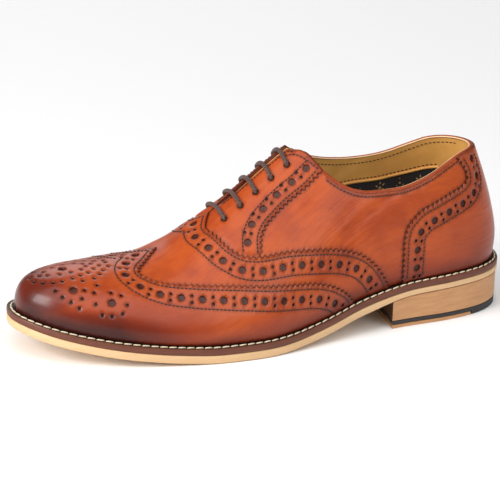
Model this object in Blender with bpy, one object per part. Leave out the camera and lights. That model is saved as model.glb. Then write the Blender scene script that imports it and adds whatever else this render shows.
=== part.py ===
"""Brogue shoe for the left foot.

The toe points along -X, the outer side of the foot is -Y, +Z is up and the shoe stands on Z = 0.
Every leather piece is cut from one surface, the shape of the last. A place on it is a station, the
share of the length from toe to heel, and a rise, 0 at the outer seam with the welt, 1 on the ridge
over the foot and 2 at the inner seam.
"""
from math import pi

import bpy
import numpy as np
from mathutils import Vector
from mathutils.geometry import delaunay_2d_cdt

# Driving sizes, in metres
LENGTH = 0.300
BALL_WIDTH = 0.105
INSTEP = 0.093
HEEL_HEIGHT = 0.019
TOE_SPRING = 0.0155
BACK_HEIGHT = 0.067
BACK_LEAN = 0.011
SIDE_GIRTH = 0.085

# Thicknesses
OUTSOLE = 0.005
WELT = 0.0035
INSOLE = 0.003
TOE_EASE = 0.004
WALL = 0.0018
VAMP_STEP = 0.0012
CAP = 0.0010
EYESTAY = 0.0008
COUNTER = 0.0010
TONGUE = 0.0020
TOP_LIFT = 0.0023
WEDGE = 0.0020

# Clearance between neighbours, and the seam left in front of an eyestay
GAP = 0.0003
SEAM = 0.0007

# How far the welt stands out past the upper, with room for the overlays
WELT_EDGE = 0.0073

# Heel
BREAST_STATION = 0.723
BREAST_DEPTH = 0.005
HEEL_INSET = 0.0012
WEDGE_END_STATION = 0.925

# Throat and lace
SLIT_START = 0.410
SLIT_HALF_GAP = 0.0022
EYELET_RADIUS = 0.0016
EYELET_RISE = 0.82
LACE_RADIUS = 0.0012
EYELET_STATIONS = (0.412, 0.446, 0.479, 0.511, 0.542)

# Tongue
TONGUE_FRONT = 0.425
TONGUE_TOP = 0.548
TONGUE_SPREAD = 0.20

# Sole edge: station, then the outer and inner half widths as shares of the ball width
SOLE_EDGE = (
    (0.000, 0.000, 0.000),
    (0.012, 0.118, 0.138),
    (0.050, 0.241, 0.266),
    (0.100, 0.331, 0.345),
    (0.180, 0.426, 0.418),
    (0.270, 0.488, 0.462),
    (0.360, 0.524, 0.472),
    (0.450, 0.522, 0.430),
    (0.550, 0.461, 0.357),
    (0.650, 0.393, 0.313),
    (0.750, 0.359, 0.316),
    (0.850, 0.339, 0.330),
    (0.930, 0.272, 0.275),
    (0.980, 0.160, 0.163),
    (1.000, 0.000, 0.000),
)

# Underside: station, share of the toe spring, share of the heel height
UNDERSIDE = (
    (0.00, 1.00, 0.00),
    (0.06, 0.70, 0.00),
    (0.14, 0.40, 0.00),
    (0.22, 0.19, 0.00),
    (0.29, 0.06, 0.00),
    (0.35, 0.00, 0.00),
    (0.43, 0.00, 0.00),
    (0.50, 0.00, 0.06),
    (0.58, 0.00, 0.28),
    (0.66, 0.00, 0.60),
    (0.75, 0.00, 0.86),
    (0.85, 0.00, 0.95),
    (1.00, 0.00, 1.00),
)

# Welt edge: station, share of the welt's widest edge
WELT_SHARES = (
    (0.00, 1.00),
    (0.10, 0.99),
    (0.36, 0.96),
    (0.55, 0.85),
    (0.66, 0.71),
    (0.75, 0.60),
    (0.85, 0.64),
    (1.00, 0.68),
)

# Sections over the foot: station, ridge height as a share of the instep, then as shares of the half
# width how far the side swells, of the height where it turns, of the half width how flat the top is,
# and how far the ridge lies to the inner side as a share of the ball width
SECTIONS = (
    (0.00, 0.000, 0.02, 0.60, 0.70, 0.00),
    (0.02, 0.145, 0.03, 0.65, 0.75, 0.00),
    (0.05, 0.210, 0.04, 0.65, 0.75, 0.00),
    (0.10, 0.275, 0.05, 0.60, 0.70, 0.02),
    (0.18, 0.335, 0.06, 0.55, 0.62, 0.03),
    (0.27, 0.395, 0.06, 0.50, 0.55, 0.03),
    (0.36, 0.545, 0.06, 0.45, 0.45, 0.03),
    (0.45, 0.735, 0.06, 0.40, 0.38, 0.03),
    (0.52, 0.890, 0.08, 0.38, 0.34, 0.03),
    (0.60, 1.030, 0.11, 0.36, 0.40, 0.02),
    (0.70, 1.120, 0.15, 0.36, 0.50, 0.01),
    (0.80, 1.140, 0.15, 0.36, 0.48, 0.00),
    (0.90, 1.140, 0.13, 0.36, 0.44, 0.00),
    (1.00, 1.140, 0.12, 0.36, 0.44, 0.00),
)

# Back of the heel: share of the back height, share of the lean (positive stands out backwards)
BACK_CURVE = (
    (0.00, 0.00),
    (0.20, 0.11),
    (0.50, -0.22),
    (0.75, -0.65),
    (0.93, -0.98),
    (1.10, -1.25),
)

# Topline: station, outer and inner height above the heel seat as shares of the back height
TOPLINE = (
    (0.520, 1.060, 1.080),
    (0.550, 1.080, 1.110),
    (0.570, 1.095, 1.115),
    (0.600, 0.945, 0.975),
    (0.635, 0.830, 0.890),
    (0.685, 0.776, 0.830),
    (0.740, 0.779, 0.815),
    (0.813, 0.846, 0.855),
    (0.870, 0.920, 0.908),
    (0.920, 0.972, 0.961),
    (0.960, 0.988, 0.982),
    (1.000, 0.990, 0.990),
)

# Half width of the throat slit: station, share of its named half gap
SLIT = (
    (0.410, 0.00),
    (0.418, 0.45),
    (0.440, 0.75),
    (0.500, 1.00),
    (0.600, 1.25),
)

# Edges of the overlays on one side, from the ridge or the top down to the welt: station, rise
WING_EDGE = (
    (0.290, 1.000),
    (0.270, 0.939),
    (0.248, 0.869),
    (0.232, 0.811),
    (0.227, 0.755),
    (0.238, 0.678),
    (0.265, 0.595),
    (0.295, 0.533),
    (0.345, 0.445),
    (0.430, 0.330),
    (0.495, 0.260),
    (0.562, 0.190),
    (0.591, 0.147),
    (0.613, 0.100),
    (0.630, 0.050),
    (0.640, 0.000),
)
VAMP_EDGE = (
    (0.399, 1.000),
    (0.386, 0.930),
    (0.378, 0.871),
    (0.384, 0.769),
    (0.390, 0.697),
    (0.398, 0.620),
    (0.408, 0.564),
    (0.422, 0.515),
    (0.439, 0.483),
    (0.462, 0.454),
    (0.496, 0.419),
    (0.534, 0.375),
    (0.571, 0.332),
    (0.606, 0.290),
    (0.637, 0.245),
    (0.663, 0.197),
    (0.685, 0.141),
    (0.703, 0.077),
    (0.718, 0.000),
)
EYESTAY_EDGE = (
    (0.597, 0.655),
    (0.567, 0.634),
    (0.527, 0.625),
    (0.497, 0.612),
    (0.476, 0.596),
    (0.463, 0.562),
    (0.457, 0.510),
)
COUNTER_EDGE = (
    (0.907, 0.496),
    (0.918, 0.460),
    (0.926, 0.419),
    (0.922, 0.388),
    (0.906, 0.367),
    (0.881, 0.353),
    (0.846, 0.336),
    (0.815, 0.319),
    (0.786, 0.301),
    (0.769, 0.278),
    (0.755, 0.250),
    (0.748, 0.205),
    (0.747, 0.143),
    (0.747, 0.077),
    (0.748, 0.000),
)

# Fineness of the facets
ANGLES = np.linspace(0.0, pi, 43)
RISES = np.linspace(0.0, 2.0, 27)

# Colour, roughness of each material
MATERIALS = {
    "tan_leather": ((0.42, 0.085, 0.022, 1.0), 0.32),
    "toe_leather": ((0.20, 0.030, 0.012, 1.0), 0.25),
    "welt_leather": ((0.055, 0.020, 0.012, 1.0), 0.45),
    "sole_leather": ((0.62, 0.40, 0.20, 1.0), 0.55),
    "heel_leather": ((0.50, 0.27, 0.12, 1.0), 0.50),
    "black_rubber": ((0.018, 0.017, 0.016, 1.0), 0.70),
    "sock": ((0.020, 0.018, 0.016, 1.0), 0.85),
    "lace": ((0.055, 0.025, 0.015, 1.0), 0.80),
}


def curve(table, column, at, level=False):
    """Smooth curve through one column of a table; level keeps it from swinging past its points."""
    rows = np.array(table)
    known = rows[:, 0]
    value = rows[:, column]
    return through(known, value, at, level)


def through(known, value, at, level=False):
    step = np.diff(known)
    rise = np.diff(value) / step
    slope = np.empty(len(known))
    slope[1:-1] = (rise[:-1] * step[1:] + rise[1:] * step[:-1]) / (step[:-1] + step[1:])
    if level:
        limit = 3.0 * np.minimum(np.abs(rise[:-1]), np.abs(rise[1:]))
        slope[1:-1] = np.where(rise[:-1] * rise[1:] > 0.0, np.clip(slope[1:-1], -limit, limit), 0.0)
        slope[0] = rise[0]
        slope[-1] = rise[-1]
    else:
        slope[0] = 1.5 * rise[0] - 0.5 * slope[1]
        slope[-1] = 1.5 * rise[-1] - 0.5 * slope[-2]
    i = np.clip(np.searchsorted(known, at) - 1, 0, len(known) - 2)
    t = (at - known[i]) / step[i]
    return ((2 * t**3 - 3 * t**2 + 1) * value[i] + (t**3 - 2 * t**2 + t) * step[i] * slope[i]
            + (3 * t**2 - 2 * t**3) * value[i + 1] + (t**3 - t**2) * step[i] * slope[i + 1])


def angle_of(station):
    return np.arccos(1.0 - 2.0 * np.asarray(station, float))


def station_of(angle):
    return (1.0 - np.cos(angle)) / 2.0


def eased(start, end, at):
    t = np.clip((at - start) / (end - start), 0.0, 1.0)
    return t * t * (3.0 - 2.0 * t)


def sole_loop():
    """Angles round the sole and the side distance there, repeated once each way so it closes."""
    rows = np.array(SOLE_EDGE)
    angle = angle_of(rows[:, 0])
    around = np.concatenate([-angle[::-1], angle[1:]])
    side = BALL_WIDTH * np.concatenate([-rows[::-1, 1], rows[1:, 2]])
    around = np.concatenate([around[:-1] - 2 * pi, around, around[1:] + 2 * pi])
    side = np.concatenate([side[:-1], side, side[1:]])
    return around, side


LOOP_ANGLE, LOOP_SIDE = sole_loop()
WIDTHS = through(LOOP_ANGLE, LOOP_SIDE, np.linspace(-pi, pi, 721))
CENTRE = -(WIDTHS.min() + WIDTHS.max()) / 2.0


def edge(around, inset=0.0):
    """Sole edge moved inwards; around runs from -pi to pi, negative on the outer side."""
    around = np.asarray(around, float)
    small = 1e-4

    def place(angle):
        return -LENGTH / 2.0 * np.cos(angle), through(LOOP_ANGLE, LOOP_SIDE, angle) + CENTRE

    x, y = place(around)
    x_before, y_before = place(around - small)
    x_after, y_after = place(around + small)
    along = np.hypot(x_after - x_before, y_after - y_before)
    return x + inset * (y_after - y_before) / along, y - inset * (x_after - x_before) / along


def underside(x):
    station = np.clip(x / LENGTH + 0.5, 0.0, 1.0)
    return (TOE_SPRING * curve(UNDERSIDE, 1, station, level=True)
            + HEEL_HEIGHT * curve(UNDERSIDE, 2, station, level=True))


def sole_top(x):
    return underside(x) + OUTSOLE


def welt_top(x):
    return sole_top(x) + GAP + WELT


def seam_height(x):
    return welt_top(x) + GAP


def welt_width(angle):
    return WELT_EDGE * curve(WELT_SHARES, 1, station_of(angle), level=True)


def section(column, angle):
    rows = np.array(SECTIONS)
    return through(angle_of(rows[:, 0]), rows[:, column], angle)


def last_surface(angle, rise):
    """Point on the outside of the upper before any overlay."""
    angle, rise = np.broadcast_arrays(np.asarray(angle, float), np.asarray(rise, float))
    side = np.where(rise <= 1.0, -1.0, 1.0)
    t = np.where(rise <= 1.0, rise, 2.0 - rise)
    inset = welt_width(angle)
    x_foot, y_foot = edge(side * angle, inset)
    x_outer, y_outer = edge(-angle, inset)
    x_inner, y_inner = edge(angle, inset)
    x_ridge = (x_outer + x_inner) / 2.0
    y_middle = (y_outer + y_inner) / 2.0
    y_ridge = y_middle + (CENTRE - y_middle) * np.sin(angle) + section(5, angle) * BALL_WIDTH
    z_foot = seam_height(x_foot)
    z_ridge = seam_height(x_ridge) + section(1, angle) * INSTEP
    half = np.abs(y_foot - y_ridge)
    height = z_ridge - z_foot
    y_swell = y_foot + side * section(2, angle) * half
    z_swell = z_foot + section(3, angle) * height
    y_crown = y_ridge + side * section(4, angle) * half
    start = (1 - t)**3
    first = 3 * (1 - t)**2 * t
    second = 3 * (1 - t) * t**2
    end = t**3
    x = x_foot * (start + first) + x_ridge * (second + end)
    y = y_foot * start + y_swell * first + y_crown * second + y_ridge * end
    z = z_foot * start + z_swell * first + z_ridge * (second + end)
    lean = curve(BACK_CURVE, 1, (z - z_foot) / BACK_HEIGHT) * BACK_LEAN
    x = x + lean * eased(0.72, 1.0, station_of(angle))
    return np.stack([x, y, z], axis=-1)


def last_normal(angle, rise):
    """Way out of the last, level where its side hangs over the welt."""
    small = 1e-4
    angle = np.clip(angle, 2 * small, pi - 2 * small)
    rise = np.clip(rise, 2 * small, 2.0 - 2 * small)
    along = last_surface(angle + small, rise) - last_surface(angle - small, rise)
    over = last_surface(angle, rise + small) - last_surface(angle, rise - small)
    normal = np.cross(along, over)
    normal /= np.linalg.norm(normal, axis=-1, keepdims=True)
    normal[..., 2] = np.maximum(normal[..., 2], 0.0)
    return normal / np.linalg.norm(normal, axis=-1, keepdims=True)


def skin(angle, rise, lift):
    """Point lifted off the surface of the last; near the welt it moves level and follows its top."""
    angle = np.asarray(angle, float)
    rise = np.asarray(rise, float)
    at_back = angle > pi - 1e-6
    rise = np.where(at_back & (rise > 1.0), 2.0 - rise, rise)
    normal = last_normal(angle, rise)
    normal[at_back, 1] = 0.0
    normal[at_back] /= np.linalg.norm(normal[at_back], axis=-1, keepdims=True)
    ground = last_surface(angle, rise)
    points = ground + lift * normal
    at_seam = (rise < 1e-6) | (rise > 2.0 - 1e-6) | (angle < 1e-6)
    side = np.where(rise < 1.0, -1.0, 1.0)
    x, y = edge(side * angle, welt_width(angle) - lift)
    points[at_seam, 0] = x[at_seam]
    points[at_seam, 1] = y[at_seam]
    near_welt = (1.0 - np.minimum(rise, 2.0 - rise))**4
    points[:, 2] += np.where(at_seam, 1.0, near_welt) * (seam_height(points[:, 0]) - seam_height(ground[:, 0]))
    return points


def solve_rise(reached):
    """Lowest rise, from 0 to 1, at which the test holds; every test here holds from there on."""
    low = 0.0
    high = 1.0
    for _ in range(40):
        middle = (low + high) / 2.0
        if reached(middle):
            high = middle
        else:
            low = middle
    return high


def topline_rise(angle, side):
    """Rise of the upper's top edge: the collar behind, the throat slit in front of it."""
    station = float(station_of(angle))
    column = 1 if side < 0 else 2
    collar = (HEEL_HEIGHT + OUTSOLE + WELT + 2 * GAP
              + BACK_HEIGHT * float(curve(TOPLINE, column, max(station, TOPLINE[0][0]), level=True)))
    half_gap = SLIT_HALF_GAP * float(curve(SLIT, 1, np.clip(station, SLIT[0][0], SLIT[-1][0]), level=True))
    ridge = last_surface(angle, 1.0)

    def place(rise):
        return last_surface(angle, rise if side < 0 else 2.0 - rise)

    def at_collar(rise):
        return place(rise)[2] >= collar

    def at_slit(rise):
        return abs(place(rise)[1] - ridge[1]) <= half_gap

    rise = solve_rise(at_slit) if station < SLIT[-1][0] else 1.0
    if station > TOPLINE[0][0]:
        rise = min(rise, solve_rise(at_collar))
    return rise


def inside(points, polygon):
    """Even-odd test of many points against one closed polygon."""
    points = np.asarray(points, float)
    result = np.zeros(len(points), bool)
    ax, ay = polygon[-1]
    for bx, by in polygon:
        crosses = (ay > points[:, 1]) != (by > points[:, 1])
        if ay != by:
            at = (bx - ax) * (points[:, 1] - ay) / (by - ay) + ax
            result ^= crosses & (points[:, 0] < at)
        ax, ay = bx, by
    return result


def distance_to(points, loop):
    """Distance of each point from the nearest side of a closed loop."""
    points = np.asarray(points, float)
    start = np.asarray(loop, float)
    run = np.roll(start, -1, axis=0) - start
    nearest = np.full(len(points), np.inf)
    for origin, way in zip(start, run):
        t = np.clip((points - origin) @ way / max(way @ way, 1e-18), 0.0, 1.0)
        nearest = np.minimum(nearest, np.linalg.norm(points - origin - t[:, None] * way, axis=1))
    return nearest


def triangulate(outer, holes=(), lines=(), spots=()):
    """Triangles that fill a flat outline with holes, following the lines and using the spots."""
    coords = []
    sides = []

    def chain(points, closed):
        first = len(coords)
        coords.extend(Vector((float(u), float(v))) for u, v in points)
        count = len(points)
        last = count if closed else count - 1
        sides.extend((first + k, first + (k + 1) % count) for k in range(last))

    chain(outer, True)
    for hole in holes:
        chain(hole, True)
    for line in lines:
        chain(line, False)
    coords.extend(Vector((float(u), float(v))) for u, v in spots)
    found, _, faces, _, _, _ = delaunay_2d_cdt(coords, sides, [], 0, 1e-7)
    places = np.array([(p.x, p.y) for p in found])
    faces = np.array(faces)
    middle = places[faces].mean(axis=1)
    keep = inside(middle, outer)
    for hole in holes:
        keep &= ~inside(middle, hole)
    return places, faces[keep]


class Welder:
    """Vertex list that gives places closer than a thousandth of a millimetre the same number."""

    REACH = 1e-6

    def __init__(self):
        self.points = []
        self.cells = {}

    def number(self, place):
        cell = np.floor(np.asarray(place) / self.REACH).astype(int)
        for step in np.ndindex(3, 3, 3):
            found = self.cells.get(tuple(cell + np.array(step) - 1))
            if found is not None and np.linalg.norm(self.points[found] - place) < self.REACH:
                return found
        self.cells[tuple(cell)] = len(self.points)
        self.points.append(np.asarray(place))
        return len(self.points) - 1


def closed_mesh(name, triangles, regions, tops, bottom):
    """Solid between a lower layer and one upper layer per region, walled where the layers end."""
    welder = Welder()
    used = sorted(set(triangles.ravel()))
    low = {k: welder.number(bottom[k]) for k in used}
    high = []
    for region, top in enumerate(tops):
        corners = sorted(set(triangles[regions == region].ravel()))
        high.append({k: welder.number(top[k]) for k in corners})
    faces = []
    owners = {}
    present = {}
    for triangle, region in zip(triangles, regions):
        faces.append([high[region][k] for k in triangle])
        faces.append([low[k] for k in reversed(triangle)])
        for k in range(3):
            a = triangle[k]
            b = triangle[(k + 1) % 3]
            present.setdefault(a, set()).add(region)
            if low[a] != low[b]:
                pair = (min(low[a], low[b]), max(low[a], low[b]))
                owners.setdefault(pair, []).append((a, b, region))
    for uses in owners.values():
        a, b, region = uses[0]
        if len(uses) == 1:
            wall = [high[region][b], high[region][a]]
            wall += steps_below(high, present, a, region)
            wall += [low[a], low[b]]
            wall += reversed(steps_below(high, present, b, region))
            faces.append(wall)
        elif uses[1][2] != region:
            other = uses[1][2]
            faces.append([high[region][b], high[region][a], high[other][a], high[other][b]])
    solid = [face for face in map(without_repeats, faces) if len(face) > 2]
    mesh = bpy.data.meshes.new(name)
    mesh.from_pydata([tuple(p) for p in welder.points], [], solid)
    mesh.validate()
    return mesh


def steps_below(high, present, at, region):
    """Corners of the lower steps that a wall passes on its way down at one place."""
    return [high[other][at] for other in sorted(present[at], reverse=True) if other < region]


def without_repeats(face):
    kept = []
    for corner in face:
        if corner not in kept:
            kept.append(corner)
    return kept


def material(name):
    colour, roughness = MATERIALS[name]
    made = bpy.data.materials.get(name)
    if made is None:
        made = bpy.data.materials.new(name)
        made.use_nodes = True
        shader = made.node_tree.nodes["Principled BSDF"]
        shader.inputs["Base Color"].default_value = colour
        shader.inputs["Roughness"].default_value = roughness
        shader.inputs["Metallic"].default_value = 0.0
        made.diffuse_color = colour
    return made


def add_piece(name, mesh, finish):
    mesh.materials.append(material(finish))
    mesh.shade_smooth()
    mesh.set_sharp_from_angle(angle=0.6)
    piece = bpy.data.objects.new(name, mesh)
    bpy.context.collection.objects.link(piece)
    piece.parent = SHOE
    return piece


def plan_loop(extra=None, toe_ease=0.0):
    """Closed plan outline of the sole, or of what lies that much inside the upper's lower edge."""
    around = np.concatenate([-ANGLES[::-1], ANGLES[1:-1]])
    if extra is None:
        return list(zip(*edge(around)))
    ease = toe_ease * (1.0 - eased(0.0, 0.2, station_of(around)))
    return list(zip(*edge(around, welt_width(np.abs(around)) + extra + ease)))


def plate(name, outer, low, high, finish, holes=(), extra_cuts=()):
    """Layer of the sole between two heights that follow the length."""
    cuts = np.concatenate([-LENGTH / 2.0 * np.cos(ANGLES[2:-2:1]), extra_cuts])
    x_low = min(x for x, _ in outer)
    x_high = max(x for x, _ in outer)
    lines = [[(x, -BALL_WIDTH), (x, BALL_WIDTH)] for x in cuts if x_low + 1e-4 < x < x_high - 1e-4]
    places, triangles = triangulate(outer, holes, lines)
    x = places[:, 0]
    top = np.column_stack([places, high(x)])
    bottom = np.column_stack([places, low(x)])
    mesh = closed_mesh(name, triangles, np.zeros(len(triangles), int), [top], bottom)
    return add_piece(name, mesh, finish)


def heel_outline(x_end=None):
    """Plan of the heel: the sole's edge behind a hollowed breast, or only its front as far as x_end."""
    x_breast = LENGTH * (BREAST_STATION - 0.5)
    around = np.linspace(0.0, 2 * pi, 241)
    x, y = edge(around, HEEL_INSET)
    stop = x.max() if x_end is None else x_end
    inner = [(px, py) for px, py in zip(x[:121], y[:121]) if x_breast < px <= stop]
    outer = [(px, py) for px, py in zip(x[121:], y[121:]) if x_breast < px <= stop]
    y_inner = np.interp(x_breast, x[:121], y[:121])
    y_outer = np.interp(-x_breast, -x[120:], y[120:])
    sides = inner[::2] + outer[::2]
    if x_end is not None:
        end_inner = (x_end, np.interp(x_end, x[:115], y[:115]))
        end_outer = (x_end, np.interp(-x_end, -x[126:], y[126:]))
        sides = inner[::2] + [end_inner, end_outer] + outer[::2]
    across = np.linspace(-1.0, 1.0, 11)
    half = (y_inner - y_outer) / 2.0
    middle = (y_inner + y_outer) / 2.0
    breast = [(x_breast + BREAST_DEPTH * (1.0 - t * t), middle + half * t) for t in across]
    return breast + sides


def build_sole():
    flats = [LENGTH * (row[0] - 0.5) for row in UNDERSIDE if row[0] in (0.35, 0.43)]
    plate("outsole", plan_loop(), underside, sole_top, "sole_leather", extra_cuts=flats)
    plate("welt", plan_loop(), lambda x: sole_top(x) + GAP, welt_top, "welt_leather", holes=[plan_loop(WALL)])
    plate("insole", plan_loop(WALL + GAP, TOE_EASE), lambda x: sole_top(x) + GAP, lambda x: welt_top(x) + INSOLE, "sock")


def build_heel():
    lift_top = WEDGE + GAP + TOP_LIFT
    x_end = LENGTH * (WEDGE_END_STATION - 0.5)
    plate("heel_block", heel_outline(), lambda x: np.full_like(x, lift_top + GAP),
          lambda x: underside(x) - GAP, "heel_leather")
    plate("heel_rubber", heel_outline(), lambda x: np.where(x > x_end + GAP / 2.0, 0.0, WEDGE + GAP),
          lambda x: np.full_like(x, lift_top), "black_rubber", extra_cuts=[x_end, x_end + GAP])
    plate("heel_wedge", heel_outline(x_end - GAP), np.zeros_like,
          lambda x: np.full_like(x, WEDGE), "heel_leather")


def mirrored(line):
    return [(station, 2.0 - rise) for station, rise in line]


def hung_from_top(line, side):
    """Edge line on one side whose first point lies on the upper's top edge."""
    station = line[0][0]
    rise = topline_rise(float(angle_of(station)), side)
    hung = [(station, rise), *line[1:]]
    return hung if side < 0 else mirrored(hung)


def refined(line, longest=0.045):
    """Points along a smooth curve through an overlay's edge, as angle and rise."""
    rows = np.array(line, float)
    rows[:, 0] = angle_of(rows[:, 0])
    gaps = np.linalg.norm(np.diff(rows, axis=0), axis=1)
    along = np.concatenate([[0.0], np.cumsum(gaps)])
    count = max(2, int(np.ceil(along[-1] / longest)) + 1)
    at = np.linspace(0.0, along[-1], count)
    return list(zip(through(along, rows[:, 0], at), np.clip(through(along, rows[:, 1], at), 0.0, 2.0)))


def grid_spots(polygon, obstacles, clear=0.022):
    """Grid places inside a polygon that keep clear of its edge and of other lines."""
    grid = np.array([(a, v) for a in ANGLES[1:-1] for v in RISES[1:-1]])
    grid = grid[inside(grid, polygon)]
    for loop in [polygon, *obstacles]:
        grid = grid[distance_to(grid, loop) > clear]
    return grid


def top_edge(side, first, last):
    """Top edge of the upper on one side between two angles, as angle and rise."""
    inner = [a for a in ANGLES if first + 0.01 < a < last - 0.01]
    corner = float(angle_of(TOPLINE[2][0]))
    extra = [a for a in (corner - 0.035, corner - 0.015, corner, corner + 0.02)
             if first + 0.005 < a < last - 0.005]
    angles = sorted({first, last, *inner, *extra})
    rises = [topline_rise(a, side) for a in angles]
    return [(a, r if side < 0 else 2.0 - r) for a, r in zip(angles, rises)]


def eyelet_holes(side):
    """Round eyelet holes on one side, as loops of angle and rise."""
    holes = []
    for station in EYELET_STATIONS:
        angle = float(angle_of(station))
        rise = EYELET_RISE if side < 0 else 2.0 - EYELET_RISE
        step = 1e-3
        along = np.linalg.norm(last_surface(angle + step, rise) - last_surface(angle, rise)) / step
        over = np.linalg.norm(last_surface(angle, rise + step) - last_surface(angle, rise)) / step
        turn = np.linspace(0.0, 2 * pi, 9)[:-1]
        holes.append([(angle + EYELET_RADIUS * np.cos(t) / along, rise + EYELET_RADIUS * np.sin(t) / over)
                      for t in turn])
    return holes


def build_upper():
    back = topline_rise(pi, -1)
    heights = [v for v in RISES if 0.0 < v < back - 0.02]
    throat = float(angle_of(SLIT_START))
    outer = [(a, 0.0) for a in ANGLES]
    outer += [(pi, v) for v in heights]
    outer += list(reversed(top_edge(-1, throat, pi)))[:-1] + [(throat, 1.0)]
    outer += top_edge(1, throat, pi)[1:]
    outer += [(pi, 2.0 - v) for v in reversed(heights)]
    outer += [(a, 2.0) for a in ANGLES[::-1]]
    near = refined(VAMP_EDGE)
    far = refined(mirrored(VAMP_EDGE))
    step_line = list(reversed(near)) + far[1:]
    holes = eyelet_holes(-1) + eyelet_holes(1)
    spots = grid_spots(outer, [step_line + step_line[-2:0:-1], *holes])
    places, triangles = triangulate(outer, holes, [step_line], spots)
    vamp = [(0.0, 0.0)] + step_line + [(0.0, 2.0)]
    regions = inside(places[triangles].mean(axis=1), vamp).astype(int)
    angle, rise = places.T
    tops = [skin(angle, rise, 0.0), skin(angle, rise, VAMP_STEP)]
    mesh = closed_mesh("upper", triangles, regions, tops, skin(angle, rise, -WALL))
    add_piece("upper", mesh, "tan_leather")


def overlay(name, outer, low, thickness, finish, holes=()):
    """Piece cut from the surface of the last between two lifts."""
    spots = grid_spots(outer, holes)
    places, triangles = triangulate(outer, holes, (), spots)
    angle, rise = places.T
    top = skin(angle, rise, low + thickness)
    mesh = closed_mesh(name, triangles, np.zeros(len(triangles), int), [top], skin(angle, rise, low))
    add_piece(name, mesh, finish)


def build_wing_cap():
    near = refined(WING_EDGE)
    far = refined(mirrored(WING_EDGE))
    near_rim = [(a, 0.0) for a in ANGLES if a < near[-1][0] - 0.02]
    far_rim = [(a, 2.0) for a in ANGLES if a < near[-1][0] - 0.02]
    outer = near_rim + list(reversed(near)) + far[1:] + list(reversed(far_rim))
    overlay("wing_cap", outer, VAMP_STEP + GAP, CAP, "toe_leather")


def moved_line(line, distance):
    """Edge line moved backwards by a real distance, measured along and over the last."""
    rows = np.array(line, float)
    scale = np.array([LENGTH, SIDE_GIRTH])
    way = np.gradient(rows * scale, axis=0)
    across = np.column_stack([-way[:, 1], way[:, 0]])
    across /= np.linalg.norm(across, axis=1, keepdims=True)
    return [tuple(row) for row in rows + across * distance / scale]


def build_eyestays():
    edge_top = float(angle_of(EYESTAY_EDGE[0][0]))
    throat = float(angle_of(SLIT_START + 0.004))
    front = [(s, v) for s, v in VAMP_EDGE if 0.49 < v < 0.99]
    for side, name in ((-1, "eyestay_lateral"), (1, "eyestay_medial")):
        front_line = refined(moved_line(front, SEAM))
        if side > 0:
            front_line = [(a, 2.0 - v) for a, v in front_line]
        back_line = refined(hung_from_top(EYESTAY_EDGE, side))
        top = top_edge(side, throat, edge_top)
        outer = top[:-1] + back_line + list(reversed(front_line))
        overlay(name, outer, GAP, EYESTAY, "tan_leather", eyelet_holes(side))


def build_counter():
    start = float(angle_of(COUNTER_EDGE[0][0]))
    foot = float(angle_of(COUNTER_EDGE[-1][0]))
    heights = [v for v in RISES if 0.0 < v < topline_rise(pi, -1) - 0.02]
    halves = []
    for side, seam in ((-1, 0.0), (1, 2.0)):
        rim = [(a, seam) for a in ANGLES if a > foot + 0.02]
        back = [(pi, abs(seam - v)) for v in heights]
        top = list(reversed(top_edge(side, start, pi)))[:-1]
        halves.append(rim + back + top + refined(hung_from_top(COUNTER_EDGE, side)))
    overlay_pair("heel_counter", *halves, GAP, COUNTER, "tan_leather")


def overlay_pair(name, near, far, low, thickness, finish):
    """Piece of two halves that meet at the back seam."""
    parts = []
    for outer in (near, far):
        places, triangles = triangulate(outer, (), (), grid_spots(outer, ()))
        parts.append((places, triangles))
    places = np.concatenate([parts[0][0], parts[1][0]])
    triangles = np.concatenate([parts[0][1], parts[1][1] + len(parts[0][0])])
    angle, rise = places.T
    top = skin(angle, rise, low + thickness)
    mesh = closed_mesh(name, triangles, np.zeros(len(triangles), int), [top], skin(angle, rise, low))
    add_piece(name, mesh, finish)


def build_tongue():
    first = float(angle_of(TONGUE_FRONT))
    last = float(angle_of(TONGUE_TOP))
    angles = np.linspace(first, last, 9)
    near = [(a, 1.0 - TONGUE_SPREAD) for a in angles]
    far = [(a, 1.0 + TONGUE_SPREAD) for a in angles]
    round_top = [(last + 0.03 * np.cos(t), 1.0 + TONGUE_SPREAD * np.sin(t))
                 for t in np.linspace(-pi / 2, pi / 2, 9)[1:-1]]
    outer = near + round_top + list(reversed(far))
    overlay("tongue", outer, -WALL - GAP - TONGUE, TONGUE, "tan_leather")


def build_laces():
    """Straight bars of the lace over the slit, each from one eyelet to the one opposite."""
    lift = GAP + EYESTAY + GAP + LACE_RADIUS
    for number, station in enumerate(EYELET_STATIONS, start=1):
        angle = float(angle_of(station))
        rises = np.linspace(EYELET_RISE, 2.0 - EYELET_RISE, 9)
        route = skin(np.full(9, angle), rises, lift)
        line = bpy.data.curves.new(f"lace_bar_{number}", "CURVE")
        line.dimensions = "3D"
        line.bevel_depth = LACE_RADIUS
        line.bevel_resolution = 2
        line.use_fill_caps = True
        spline = line.splines.new("POLY")
        spline.points.add(len(route) - 1)
        for point, place in zip(spline.points, route):
            point.co = (*place, 1.0)
        line.materials.append(material("lace"))
        bar = bpy.data.objects.new(f"lace_bar_{number}", line)
        bpy.context.collection.objects.link(bar)
        bar.parent = SHOE


for old in list(bpy.data.objects):
    bpy.data.objects.remove(old, do_unlink=True)

SHOE = bpy.data.objects.new("shoe", None)
bpy.context.collection.objects.link(SHOE)

build_sole()
build_heel()
build_upper()
build_wing_cap()
build_eyestays()
build_counter()
build_tongue()
build_laces()
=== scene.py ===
"""Looks of the brogue shoe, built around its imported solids.

The toe points along -X, the outer side of the foot is -Y and +Z is up. Every leather piece lies on
one surface, the shape of the last. A place on it is a station, the share of the length from toe to
heel, and a rise, 0 at the outer seam with the welt, 1 on the ridge over the foot and 2 at the inner
seam. The leather is drawn on a flat chart of that surface, in metres, and then laid over it.
"""
from math import cos, pi, radians, sin

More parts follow.
